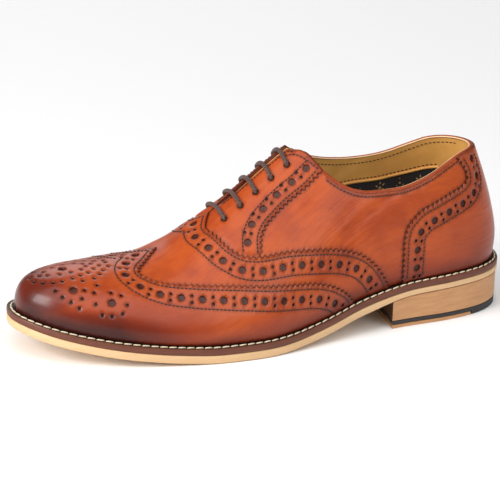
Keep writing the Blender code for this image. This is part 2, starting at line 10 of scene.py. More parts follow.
import bpy
import numpy as np
from mathutils import Matrix, Vector
from mathutils.geometry import delaunay_2d_cdt
from mathutils.kdtree import KDTree


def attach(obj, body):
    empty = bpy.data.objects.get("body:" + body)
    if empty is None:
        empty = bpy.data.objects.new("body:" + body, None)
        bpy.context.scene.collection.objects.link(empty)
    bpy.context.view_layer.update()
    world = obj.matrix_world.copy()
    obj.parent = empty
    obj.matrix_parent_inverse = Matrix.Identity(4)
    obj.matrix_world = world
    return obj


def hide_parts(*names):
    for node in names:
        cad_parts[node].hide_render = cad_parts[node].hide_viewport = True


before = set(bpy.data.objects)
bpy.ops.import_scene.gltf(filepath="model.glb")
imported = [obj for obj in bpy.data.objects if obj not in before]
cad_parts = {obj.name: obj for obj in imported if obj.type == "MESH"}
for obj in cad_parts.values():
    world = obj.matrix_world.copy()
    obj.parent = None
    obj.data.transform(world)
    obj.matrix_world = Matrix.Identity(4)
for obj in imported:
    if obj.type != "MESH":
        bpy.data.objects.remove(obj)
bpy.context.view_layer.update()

# Sizes of the shoe, in metres
LENGTH = 0.300
BALL_WIDTH = 0.105
INSTEP = 0.093
HEEL_HEIGHT = 0.019
TOE_SPRING = 0.0155
BACK_HEIGHT = 0.067
BACK_LEAN = 0.011
OUTSOLE = 0.005
WELT = 0.0035
INSOLE = 0.003
TOE_EASE = 0.004
TOP_LIFT = 0.0023
WEDGE = 0.0020
GAP = 0.0003
WELT_EDGE = 0.0073
SOLE_THINNED = 0.0013
BREAST_STATION = 0.723
BREAST_DEPTH = 0.005
HEEL_INSET = 0.0006
WEDGE_END_STATION = 0.905
END_BOW = 0.0001
SLIT_START = 0.410
SLIT_HALF_GAP = 0.0022
EYELET_RADIUS = 0.0016
EYELET_RISE = 0.82
EYELET_STATIONS = (0.412, 0.446, 0.479, 0.511, 0.542)
LACE_RADIUS = 0.0012
TONGUE_FRONT = 0.425
TONGUE_TOP = 0.530
TONGUE_SPREAD = 0.20

# Lifts of the leather layers off the last's surface: underside and top
LINING = (-0.0018, -0.0010)
QUARTER = (-0.0009, 0.0)
VAMP = (0.0002, 0.0012)
WING = (0.0014, 0.0025)
EYESTAY = (0.0002, 0.0011)
COUNTER = (0.0002, 0.0013)
TONGUE = (-0.0041, -0.0021)

# Brogueing
GIMP_PITCH = 0.0033
GIMP_DEPTH = 0.0018
BIG_HOLE = 0.00195
SMALL_HOLE = 0.0008
SMALL_NEARER = 0.0015
SMALL_FARTHER = 0.0023
STITCH_PITCH = 0.0022
HOLE_MARGIN = 0.0009

# Sheets of leather: rim, rolled edge, sewn groove, the darkening near them (the leather's dark cut edge,
# painted shade in the groove, painted shadow beside an overlay's edge), and the widths of these
RIM = 0.00035
ROLLED = 0.00012
ROLLED_WIDTH = 0.0009
GROOVE = 0.00022
GROOVE_WIDTH = 0.00045
EDGE_AND_SHADE_WIDTH = 0.0004
MARK_WIDTH = 0.0008
HOLE_SHADE_WIDTH = 0.0030
THINNEST = 0.0001

# Rows of stitches: how deep they sink, the step that gives their way, how far an edge is carried past
# its table for them, the rise where they end, and how far rows and holes stay off other edges
SUNK = 0.00005
WAY_STEP = 0.0003
ROW_CARRIED = 0.014
LOWEST_ROW = 0.012
ROWS_CLEAR = 0.002
HOLES_CLEAR = 0.003

# Distances of the other rows from the edge or joint they follow; the welt's is a share of its width
SLIT_ROW = 0.0016
COLLAR_ROW = 0.0026
LINING_ROW = 0.0032
JOINT_ROW = 0.0017
WELT_ROW = 0.36
LINING_PITCH = 0.0026
WELT_PITCH = 0.0050

# How far eyestays and quarters run on under the vamp, and the sole parts' ring under the upper
EYESTAY_UNDERLAP = 0.005
QUARTER_UNDERLAP = 0.017
UNDER_UPPER = 0.0018

# Station where the collar's binding starts, and the share of the eyelets' radius below the eyestays
BINDING_START = 0.566
HIDDEN_EYELET = 0.97

# Threads: length of a stitch and its radius
UPPER_THREAD = (0.0018, 0.00036)
LINING_THREAD = (0.0019, 0.00032)
WELT_THREAD = (WELT_PITCH, 0.00050)

# Steps along fine lines, in metres, and turns round the shoe, in radians, that count as small
FINE_STEP = 0.0005
SMALL_TURN = 1e-4

# Sole edge: station, then the outer and inner half widths as shares of the ball width
SOLE_EDGE = (
    (0.000, 0.000, 0.000), (0.012, 0.118, 0.138), (0.050, 0.241, 0.266), (0.100, 0.331, 0.345),
    (0.180, 0.426, 0.418), (0.270, 0.488, 0.462), (0.360, 0.524, 0.472), (0.450, 0.522, 0.430),
    (0.550, 0.461, 0.357), (0.650, 0.393, 0.313), (0.750, 0.359, 0.316), (0.850, 0.342, 0.335),
    (0.930, 0.288, 0.292), (0.980, 0.180, 0.184), (1.000, 0.000, 0.000),
)

# Underside: station, share of the toe spring, share of the heel height
UNDERSIDE = (
    (0.00, 1.00, 0.00), (0.06, 0.70, 0.00), (0.14, 0.40, 0.00), (0.22, 0.19, 0.00),
    (0.29, 0.06, 0.00), (0.35, 0.00, 0.00), (0.43, 0.00, 0.00), (0.50, 0.00, 0.06),
    (0.58, 0.00, 0.28), (0.66, 0.00, 0.60), (0.75, 0.00, 0.86), (0.85, 0.00, 0.95),
    (1.00, 0.00, 1.00),
)

# Welt edge: station, share of the welt's widest edge
WELT_SHARES = (
    (0.00, 0.90), (0.10, 0.95), (0.36, 0.96), (0.55, 0.85), (0.66, 0.71), (0.75, 0.60),
    (0.85, 0.64), (1.00, 0.68),
)

# Sections over the foot: station, ridge height as a share of the instep, then as shares of the half
# width how far the side swells, of the height where it turns, of the half width how flat the top is,
# and how far the ridge lies to the inner side as a share of the ball width
SECTIONS = (
    (0.00, 0.000, 0.02, 0.60, 0.70, 0.00), (0.02, 0.165, 0.03, 0.65, 0.75, 0.00),
    (0.05, 0.224, 0.04, 0.65, 0.75, 0.00), (0.10, 0.274, 0.05, 0.60, 0.70, 0.02),
    (0.18, 0.324, 0.06, 0.55, 0.62, 0.03), (0.27, 0.389, 0.06, 0.50, 0.55, 0.03),
    (0.36, 0.545, 0.06, 0.45, 0.45, 0.03), (0.45, 0.735, 0.06, 0.40, 0.38, 0.03),
    (0.52, 0.890, 0.08, 0.38, 0.34, 0.03), (0.60, 1.030, 0.11, 0.36, 0.40, 0.02),
    (0.70, 1.120, 0.15, 0.36, 0.50, 0.01), (0.80, 1.140, 0.15, 0.36, 0.48, 0.00),
    (0.90, 1.140, 0.13, 0.36, 0.44, 0.00), (1.00, 1.140, 0.12, 0.36, 0.44, 0.00),
)

# Back of the heel: share of the back height, share of the lean (positive stands out backwards)
BACK_CURVE = (
    (0.00, 0.00), (0.20, 0.11), (0.50, -0.24), (0.75, -0.72), (0.93, -1.13), (1.10, -1.50),
)

# Topline: station, outer and inner height above the heel seat as shares of the back height
TOPLINE = (
    (0.520, 1.060, 1.090), (0.550, 1.080, 1.100), (0.570, 1.095, 1.050), (0.600, 0.945, 0.960),
    (0.635, 0.830, 0.900), (0.685, 0.776, 0.850), (0.740, 0.779, 0.830), (0.813, 0.846, 0.855),
    (0.870, 0.920, 0.908), (0.920, 0.972, 0.961), (0.960, 0.988, 0.982), (1.000, 0.990, 0.990),
)

# Half width of the throat slit: station, share of its named half gap
SLIT = (
    (0.410, 0.00), (0.418, 0.45), (0.440, 0.75), (0.500, 1.00), (0.600, 1.25),
)

# Edges of the overlays on one side, from the ridge or the top down to the welt: station, rise
WING_EDGE = (
    (0.290, 1.000), (0.270, 0.939), (0.248, 0.869), (0.232, 0.811), (0.227, 0.755), (0.238, 0.678),
    (0.265, 0.595), (0.295, 0.533), (0.345, 0.445), (0.430, 0.330), (0.495, 0.260), (0.562, 0.190),
    (0.591, 0.147), (0.613, 0.100), (0.630, 0.050), (0.640, 0.000),
)
VAMP_EDGE = (
    (0.399, 1.000), (0.386, 0.930), (0.378, 0.871), (0.384, 0.769), (0.390, 0.697), (0.398, 0.620),
    (0.408, 0.564), (0.422, 0.515), (0.439, 0.483), (0.462, 0.454), (0.496, 0.419), (0.534, 0.375),
    (0.571, 0.332), (0.606, 0.290), (0.637, 0.245), (0.663, 0.197), (0.685, 0.141), (0.703, 0.077),
    (0.718, 0.000),
)
EYESTAY_EDGE = (
    (0.597, 0.655), (0.567, 0.634), (0.527, 0.625), (0.497, 0.612), (0.476, 0.596), (0.463, 0.562),
    (0.457, 0.510),
)
COUNTER_EDGE = (
    (0.907, 0.496), (0.918, 0.460), (0.926, 0.419), (0.922, 0.388), (0.906, 0.367), (0.881, 0.353),
    (0.846, 0.336), (0.815, 0.319), (0.786, 0.301), (0.769, 0.278), (0.755, 0.250), (0.748, 0.205),
    (0.747, 0.143), (0.747, 0.077), (0.748, 0.000),
)

# Row of stitches over the top of each eyestay
TOP_ARC = (
    (0.530, 0.945), (0.542, 0.904), (0.556, 0.858), (0.575, 0.756), (0.593, 0.657),
)

# Joint inside, on each side: leather lining above it and printed cloth below
LINING_JOINT = (
    (0.600, 0.400), (0.660, 0.365), (0.716, 0.335), (0.760, 0.320), (0.807, 0.316), (0.858, 0.324),
    (0.906, 0.339), (0.940, 0.345),
)
CLOTH = (-0.0023, -0.0019)

# Rise of the cloth's lower edge, and the station and rise its print is centred on
CLOTH_FOOT = 0.03
PRINT_ORIGIN = (0.795, 0.316)

# Punched ornament on the toe, its outer half and the ridge: station, rise
MEDALLION_BIG = (
    (0.094, 1.000), (0.089, 0.598), (0.152, 0.433),
)
MEDALLION_SMALL = (
    (0.045, 1.000), (0.030, 0.917), (0.058, 0.940), (0.042, 0.799), (0.059, 0.752), (0.076, 0.756),
    (0.057, 0.598), (0.066, 0.484), (0.079, 0.414), (0.092, 0.340), (0.100, 0.471), (0.109, 0.589),
    (0.125, 0.554), (0.122, 0.406), (0.130, 0.283), (0.147, 0.277), (0.167, 0.313), (0.179, 0.408),
    (0.173, 0.513), (0.156, 0.549), (0.114, 0.729), (0.098, 0.782), (0.080, 0.892), (0.103, 0.892),
    (0.116, 0.818), (0.138, 0.752), (0.136, 0.653), (0.134, 0.849), (0.126, 0.919), (0.154, 0.805),
    (0.165, 0.856), (0.150, 0.902), (0.180, 0.902), (0.165, 0.942), (0.140, 0.968), (0.154, 1.000),
    (0.182, 0.978),
)

# Points nearer than this are the same point
SAME_POINT = 2e-7

OUTER = -1
INNER = 1
SIDES = (OUTER, INNER)


def curve(table, column, at, level=False):
    """Smooth curve through one column of a table; level keeps it from swinging past its points."""
    rows = np.array(table)
    return through(rows[:, 0], rows[:, column], at, level)


def through(known, value, at, level=False):
    step = np.diff(known)
    rise = np.diff(value) / step
    slope = np.empty(len(known))
    slope[1:-1] = (rise[:-1] * step[1:] + rise[1:] * step[:-1]) / (step[:-1] + step[1:])
    if level:
        limit = 3.0 * np.minimum(np.abs(rise[:-1]), np.abs(rise[1:]))
        slope[1:-1] = np.where(rise[:-1] * rise[1:] > 0.0, np.clip(slope[1:-1], -limit, limit), 0.0)
        slope[0] = rise[0]
        slope[-1] = rise[-1]
    else:
        slope[0] = 1.5 * rise[0] - 0.5 * slope[1]
        slope[-1] = 1.5 * rise[-1] - 0.5 * slope[-2]
    i = np.clip(np.searchsorted(known, at) - 1, 0, len(known) - 2)
    t = (at - known[i]) / step[i]
    return ((2 * t**3 - 3 * t**2 + 1) * value[i] + (t**3 - 2 * t**2 + t) * step[i] * slope[i]
            + (3 * t**2 - 2 * t**3) * value[i + 1] + (t**3 - t**2) * step[i] * slope[i + 1])


def angle_of(station):
    return np.arccos(1.0 - 2.0 * np.asarray(station, float))


def turn_of(station):
    """Angle at one station, as a plain number."""
    return float(angle_of(station))


def station_of(angle):
    return (1.0 - np.cos(angle)) / 2.0


def sided(rise, side):
    """A rise counted up from the seam of the given side."""
    return rise if side == OUTER else 2.0 - rise


def eased(start, end, at):
    t = np.clip((at - start) / (end - start), 0.0, 1.0)
    return t * t * (3.0 - 2.0 * t)


def unit(vectors):
    return vectors / np.maximum(np.linalg.norm(vectors, axis=-1, keepdims=True), 1e-12)


def together(parts):
    """Joins the first arrays of all parts, then the second ones, and so on."""
    return tuple(np.concatenate(arrays) for arrays in zip(*parts))


def smoothed(points, times):
    """The same points with all but the ends evened out, so many times over."""
    for _ in range(times):
        points[1:-1] = (points[:-2] + 2 * points[1:-1] + points[2:]) / 4.0
    return points


# The last


def sole_loop():
    """Angles round the sole and the side distance there, repeated once each way so it closes."""
    rows = np.array(SOLE_EDGE)
    angle = angle_of(rows[:, 0])
    around = np.concatenate([-angle[::-1], angle[1:]])
    side = BALL_WIDTH * np.concatenate([-rows[::-1, 1], rows[1:, 2]])
    around = np.concatenate([around[:-1] - 2 * pi, around, around[1:] + 2 * pi])
    side = np.concatenate([side[:-1], side, side[1:]])
    return around, side


LOOP_ANGLE, LOOP_SIDE = sole_loop()
WIDTHS = through(LOOP_ANGLE, LOOP_SIDE, np.linspace(-pi, pi, 721))
CENTRE = -(WIDTHS.min() + WIDTHS.max()) / 2.0


def edge(around, inset=0.0):
    """Sole edge moved inwards; around runs from -pi to pi, negative on the outer side."""
    around = np.asarray(around, float)
    small = SMALL_TURN

    def place(angle):
        return -LENGTH / 2.0 * np.cos(angle), through(LOOP_ANGLE, LOOP_SIDE, angle) + CENTRE

    x, y = place(around)
    x_before, y_before = place(around - small)
    x_after, y_after = place(around + small)
    along = np.hypot(x_after - x_before, y_after - y_before)
    return x + inset * (y_after - y_before) / along, y - inset * (x_after - x_before) / along


def underside(x):
    station = np.clip(x / LENGTH + 0.5, 0.0, 1.0)
    return (TOE_SPRING * curve(UNDERSIDE, 1, station, level=True)
            + HEEL_HEIGHT * curve(UNDERSIDE, 2, station, level=True))


def sole_top(x):
    return underside(x) + OUTSOLE


def welt_top(x):
    return sole_top(x) + GAP + WELT


def seam_height(x):
    return welt_top(x) + GAP


def welt_width(angle):
    return WELT_EDGE * curve(WELT_SHARES, 1, station_of(angle), level=True)


def section(column, angle):
    rows = np.array(SECTIONS)
    return through(angle_of(rows[:, 0]), rows[:, column], angle)


def last_surface(angle, rise):
    """Point on the outside of the upper before any overlay."""
    angle, rise = np.broadcast_arrays(np.asarray(angle, float), np.asarray(rise, float))
    side = np.where(rise <= 1.0, -1.0, 1.0)
    t = np.where(rise <= 1.0, rise, 2.0 - rise)
    inset = welt_width(angle)
    x_foot, y_foot = edge(side * angle, inset)
    x_outer, y_outer = edge(-angle, inset)
    x_inner, y_inner = edge(angle, inset)
    x_ridge = (x_outer + x_inner) / 2.0
    y_middle = (y_outer + y_inner) / 2.0
    y_ridge = y_middle + (CENTRE - y_middle) * np.sin(angle) + section(5, angle) * BALL_WIDTH
    z_foot = seam_height(x_foot)
    z_ridge = seam_height(x_ridge) + section(1, angle) * INSTEP
    half = np.abs(y_foot - y_ridge)
    height = z_ridge - z_foot
    y_swell = y_foot + side * section(2, angle) * half
    z_swell = z_foot + section(3, angle) * height
    y_crown = y_ridge + side * section(4, angle) * half
    start = (1 - t)**3
    first = 3 * (1 - t)**2 * t
    second = 3 * (1 - t) * t**2
    end = t**3
    x = x_foot * (start + first) + x_ridge * (second + end)
    y = y_foot * start + y_swell * first + y_crown * second + y_ridge * end
    z = z_foot * start + z_swell * first + z_ridge * (second + end)
    lean = curve(BACK_CURVE, 1, (z - z_foot) / BACK_HEIGHT) * BACK_LEAN
    x = x + lean * eased(0.72, 1.0, station_of(angle))
    return np.stack([x, y, z], axis=-1)


def last_normal(angle, rise):
    """Way out of the last, level where its side hangs over the welt."""
    small = SMALL_TURN
    angle = np.clip(angle, 2 * small, pi - 2 * small)
    rise = np.clip(rise, 2 * small, 2.0 - 2 * small)
    along = last_surface(angle + small, rise) - last_surface(angle - small, rise)
    over = last_surface(angle, rise + small) - last_surface(angle, rise - small)
    normal = unit(np.cross(along, over))
    normal[..., 2] = np.maximum(normal[..., 2], 0.0)
    return unit(normal)


def skin(angle, rise, lift):
    """Point lifted off the surface of the last; near the welt it moves level and follows its top."""
    angle = np.asarray(angle, float)
    rise = np.asarray(rise, float)
    at_back = angle > pi - 1e-6
    rise = np.where(at_back & (rise > 1.0), 2.0 - rise, rise)
    normal = last_normal(angle, rise)
    normal[at_back, 1] = 0.0
    normal[at_back] = unit(normal[at_back])
    ground = last_surface(angle, rise)
    lift = np.broadcast_to(np.asarray(lift, float), angle.shape)
    points = ground + lift[..., None] * normal
    at_seam = (rise < 1e-6) | (rise > 2.0 - 1e-6) | (angle < 1e-6)
    side = np.where(rise < 1.0, -1.0, 1.0)
    x, y = edge(side * angle, welt_width(angle) - lift)
    points[at_seam, 0] = x[at_seam]
    points[at_seam, 1] = y[at_seam]
    near_welt = np.clip(1.0 - np.minimum(rise, 2.0 - rise), 0.0, 1.0)**4
    shift = seam_height(points[..., 0]) - seam_height(ground[..., 0])
    points[..., 2] += np.where(at_seam, 1.0, near_welt) * shift
    return points


def topline_rises(angles, side):
    """Rise of the upper's top edge: the collar behind, the throat slit in front of it."""
    angles = np.asarray(angles, float)
    station = station_of(angles)
    column = 1 if side == OUTER else 2
    collar = (HEEL_HEIGHT + OUTSOLE + WELT + 2 * GAP + BACK_HEIGHT
              * curve(TOPLINE, column, np.maximum(station, TOPLINE[0][0]), level=True))
    half_gap = SLIT_HALF_GAP * curve(SLIT, 1, np.clip(station, SLIT[0][0], SLIT[-1][0]), level=True)
    ridge = last_surface(angles, 1.0)

    def lowest(reached):
        low = np.zeros_like(angles)
        high = np.ones_like(angles)
        for _ in range(30):
            middle = (low + high) / 2.0
            place = last_surface(angles, sided(middle, side))
            found = reached(place)
            high = np.where(found, middle, high)
            low = np.where(found, low, middle)
        return high

    at_collar = lowest(lambda place: place[:, 2] >= collar)
    at_slit = lowest(lambda place: np.abs(place[:, 1] - ridge[:, 1]) <= half_gap)
    rise = np.where(station < SLIT[-1][0], at_slit, 1.0)
    return np.where(station > TOPLINE[0][0], np.minimum(rise, at_collar), rise)


# The flat chart: metres along the side of the last, and metres up or down from its ridge

SIDE_RISE = 0.35
CHART_ANGLES = np.linspace(0.0, pi, 361)


def reach_of(points):
    """Distance of each point from the first, along the line through them."""
    return np.concatenate([[0.0], np.cumsum(np.linalg.norm(np.diff(points, axis=0), axis=1))])


def half_girths(side):
    t = np.linspace(0.0, 1.0, 25)
    rise = sided(t, side)
    points = last_surface(CHART_ANGLES[:, None], rise[None, :])
    return np.maximum(np.linalg.norm(np.diff(points, axis=1), axis=2).sum(axis=1), 1e-5)


CHART_REACH = reach_of(last_surface(CHART_ANGLES, SIDE_RISE))
CHART_LENGTH = CHART_REACH[-1]
GIRTHS = {OUTER: half_girths(OUTER), INNER: half_girths(INNER)}


def girth(angle, side):
    both = [np.interp(angle, CHART_ANGLES, GIRTHS[s]) for s in SIDES]
    return np.where(np.asarray(side) <= 0, *both)


def to_chart(angle, rise):
    rise = np.asarray(rise, float)
    u = np.interp(angle, CHART_ANGLES, CHART_REACH)
    return np.stack([u, (rise - 1.0) * girth(angle, np.where(rise <= 1.0, -1, 1))], axis=-1)


def from_chart(places):
    places = np.asarray(places, float)
    angle = np.interp(places[..., 0], CHART_REACH, CHART_ANGLES)
    return angle, 1.0 + places[..., 1] / girth(angle, np.where(places[..., 1] <= 0.0, -1, 1))


def to_rear(places, side):
    """The same places on a chart opened round the back of the heel, up from the seam with the welt."""
    angle, _ = from_chart(places)
    behind = CHART_LENGTH - places[:, 0]
    return np.column_stack([side * behind, girth(angle, side) - side * places[:, 1]])


def from_rear(places):
    places = np.asarray(places, float)
    angle = np.interp(CHART_LENGTH - np.abs(places[:, 0]), CHART_REACH, CHART_ANGLES)
    side = np.where(places[:, 0] <= 0.0, -1, 1)
    share = places[:, 1] / girth(angle, side)
    return angle, np.where(side < 0, share, 2.0 - share)


# Lines on the chart


def spaced(line, step):
    """The same line with its points about one real step apart."""
    angle, rise = from_chart(line)
    reach = reach_of(last_surface(angle, rise))
    return at_reach(line, reach, np.linspace(0.0, reach[-1], max(2, int(round(reach[-1] / step)) + 1)))


def at_reach(line, reach, wanted):
    """Points of a line at wanted distances along it."""
    return np.column_stack([np.interp(wanted, reach, column) for column in line.T])


def real_reach(line):
    return reach_of(last_surface(*from_chart(line)))


def drawn(table, side, before=0.0, beyond=0.0):
    """Smooth line through a table of stations and rises, carried straight on past its ends."""
    rows = np.array(table, float)
    rise = sided(rows[:, 1], side)
    knots = to_chart(angle_of(rows[:, 0]), rise)
    knots[:, 1] = np.where(rows[:, 1] == 1.0, 0.0, knots[:, 1])
    reach = reach_of(knots)
    at = np.linspace(0.0, reach[-1], int(reach[-1] / FINE_STEP))
    line = np.column_stack([through(reach, knots[:, k], at) for k in (0, 1)])
    parts = [line]
    if before:
        parts.insert(0, line[0] + unit(line[0] - line[2]) * before)
    if beyond:
        parts.append(line[-1] + unit(line[-1] - line[-3]) * beyond)
    return spaced(np.vstack(parts), FINE_STEP)


def metric(places, unfold=from_chart):
    """Real squares and product of small steps along the two ways of a chart."""
    small = 2e-4
    along = [(last_surface(*unfold(places + step)) - last_surface(*unfold(places - step))) / (2 * small)
             for step in (np.array([small, 0.0]), np.array([0.0, small]))]
    return [(along[j] * along[k]).sum(axis=1) for j, k in ((0, 0), (0, 1), (1, 1))]


def sideways(line):
    """Steps of one real unit across a chart line, to its left."""
    e, f, g = metric(line)
    way = np.gradient(line, axis=0)
    lowered = np.column_stack([e * way[:, 0] + f * way[:, 1], f * way[:, 0] + g * way[:, 1]])
    area = np.sqrt(np.maximum(e * g - f * f, 1e-12))
    across = np.column_stack([-lowered[:, 1], lowered[:, 0]]) / area[:, None]
    return across / np.sqrt(np.maximum((way * lowered).sum(axis=1), 1e-18))[:, None]


def beside(line, distance):
    """Line that runs a real distance beside another, on its left where the distance is positive."""
    count = int(np.ceil(abs(distance) / 0.0012))
    for _ in range(count):
        line = spaced(line, 0.001)
        moved = line + sideways(line) * distance / count
        forward = (np.diff(moved, axis=0) * np.diff(line, axis=0)).sum(axis=1) > 0.0
        line = moved[np.concatenate([[True], forward])]
    return spaced(line, FINE_STEP)


def from_ridge(line, side):
    """The part of a line on its own side of the ridge, starting on the ridge itself."""
    height = side * line[:, 1]
    first = int(np.argmax(height > 0.0))
    if first == 0:
        return line
    share = height[first] / (height[first] - height[first - 1])
    start = line[first] + share * (line[first - 1] - line[first])
    return np.vstack([(start[0], 0.0), line[first:]])


def to_seam(line, side):
    """The part of a line above the seam with the welt, ending on the seam itself."""
    angle, rise = from_chart(line)
    share = sided(rise, side)
    last = int(np.argmax(share <= 0.004)) if (share <= 0.004).any() else len(line)
    end = to_chart(angle[last - 1], sided(0.0, side))
    return np.vstack([line[:last], end])


def gimped(line, plain=0.0):
    """An edge cut into small teeth: a line moved in and out by turns, plain at its start and end."""
    line = spaced(line, GIMP_PITCH / 6.0)
    reach = real_reach(line)
    wave = 1.0 - 4.0 * np.abs((reach / GIMP_PITCH) % 1.0 - 0.5)
    full = eased(plain, plain + GIMP_PITCH, reach) * eased(reach[-1], reach[-1] - GIMP_PITCH, reach)
    return line + sideways(line) * (wave * full * GIMP_DEPTH / 2.0)[:, None]


def inside(points, polygon):
    """Even-odd test of many points against one closed polygon."""
    points = np.asarray(points, float)
    result = np.zeros(len(points), bool)
    ax, ay = polygon[-1]
    for bx, by in polygon:
        if ay != by:
            crosses = (ay > points[:, 1]) != (by > points[:, 1])
            result ^= crosses & (points[:, 0] < (bx - ax) * (points[:, 1] - ay) / (by - ay) + ax)
        ax, ay = bx, by
    return result


def tree_of(points):
    """Search tree over flat points, numbered in their order."""
    tree = KDTree(len(points))
    for number, (u, w) in enumerate(points):
        tree.insert((u, w, 0.0), number)
    tree.balance()
    return tree


def distances(points, targets):
    """Distance of each point from the nearest target."""
    targets = np.asarray(targets, float)
    if len(targets) == 0:
        return np.full(len(points), 1.0)
    tree = tree_of(targets)
    return np.array([tree.find((u, w, 0.0))[2] for u, w in points])


def circle(centre, radius, count):
    turn = np.arange(count) * 2 * pi / count
    return centre + radius * np.column_stack([np.cos(turn), np.sin(turn)])


def round_hole(centre, radius, count, unfold=from_chart):
    """Loop on a chart that is a true circle once laid over the last."""
    e, f, g = (float(part[0]) for part in metric(centre[None, :], unfold))
    size, way = np.linalg.eigh(np.array([[e, f], [f, g]]))
    return centre + circle(np.zeros(2), radius, count) @ (way / np.sqrt(size)) @ way.T


# Meshes


def new_mesh(name, points, faces, attributes=None):
    mesh = bpy.data.meshes.new(name)
    mesh.from_pydata(np.asarray(points, float).tolist(), [], faces)
    for key, values in (attributes or {}).items():
        values = np.asarray(values, np.float32)
        if values.ndim == 1:
            mesh.attributes.new(key, "FLOAT", "POINT").data.foreach_set("value", values)
        else:
            flat = np.column_stack([values, np.zeros(len(values))]) if values.shape[1] == 2 else values
            mesh.attributes.new(key, "FLOAT_VECTOR", "POINT").data.foreach_set(
                "vector", flat.astype(np.float32).ravel())
    return mesh


def add_piece(name, mesh, finishes, replaced=(), sharp=0.9):
    for finish in finishes if isinstance(finishes, (list, tuple)) else [finishes]:
        mesh.materials.append(finish)
    mesh.shade_smooth()
    mesh.set_sharp_from_angle(angle=sharp)
    piece = bpy.data.objects.new(name, mesh)
    bpy.context.scene.collection.objects.link(piece)
    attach(piece, "root")
    if replaced:
        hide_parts(*replaced)
    return piece


def triangulate(outer, holes=(), lines=(), spots=()):
    """Triangles that fill a flat outline with holes, following the lines and using the spots."""
    coords = []
    sides = []

    def chain(points, closed):
        first = len(coords)
        coords.extend(Vector((float(u), float(v))) for u, v in points)
        count = len(points)
        sides.extend((first + k, first + (k + 1) % count) for k in range(count if closed else count - 1))

    chain(outer, True)
    for hole in holes:
        chain(hole, True)
    for line in lines:
        chain(line, False)
    coords.extend(Vector((float(u), float(v))) for u, v in spots)
    found, _, faces, _, _, _ = delaunay_2d_cdt(coords, sides, [], 0, 1e-7)
    places = np.array([(p.x, p.y) for p in found])
    faces = np.array(faces)
    middle = places[faces].mean(axis=1)
    keep = inside(middle, outer)
    for hole in holes:
        keep &= ~inside(middle, hole)
    return places, faces[keep]


def border_sides(triangles):
    """Directed sides that only one triangle has."""
    sides = np.concatenate([triangles[:, [0, 1]], triangles[:, [1, 2]], triangles[:, [2, 0]]])
    key = np.sort(sides, axis=1)
    _, first, count = np.unique(key, axis=0, return_index=True, return_counts=True)
    return sides[first[count == 1]]


def rings_along(loops, inset):
    """Points a little inside each outline, for a rounded rim."""
    rings = []
    for loop in loops:
        way = unit(np.roll(loop, -1, axis=0) - np.roll(loop, 1, axis=0))
        across = np.column_stack([-way[:, 1], way[:, 0]])
        rings.append(loop + across * inset)
        rings.append(loop - across * inset)
    return np.concatenate(rings)


def hex_spots(outer, spacing):
    outer = np.asarray(outer)
    low = outer.min(axis=0)
    high = outer.max(axis=0)
    rows = np.arange(low[1], high[1], spacing * 0.866)
    columns = np.arange(low[0], high[0], spacing)
    u, w = np.meshgrid(columns, rows)
    u = u + (np.arange(len(rows)) % 2)[:, None] * spacing / 2.0
    spots = np.column_stack([u.ravel(), w.ravel()])
    return spots[inside(spots, outer)]


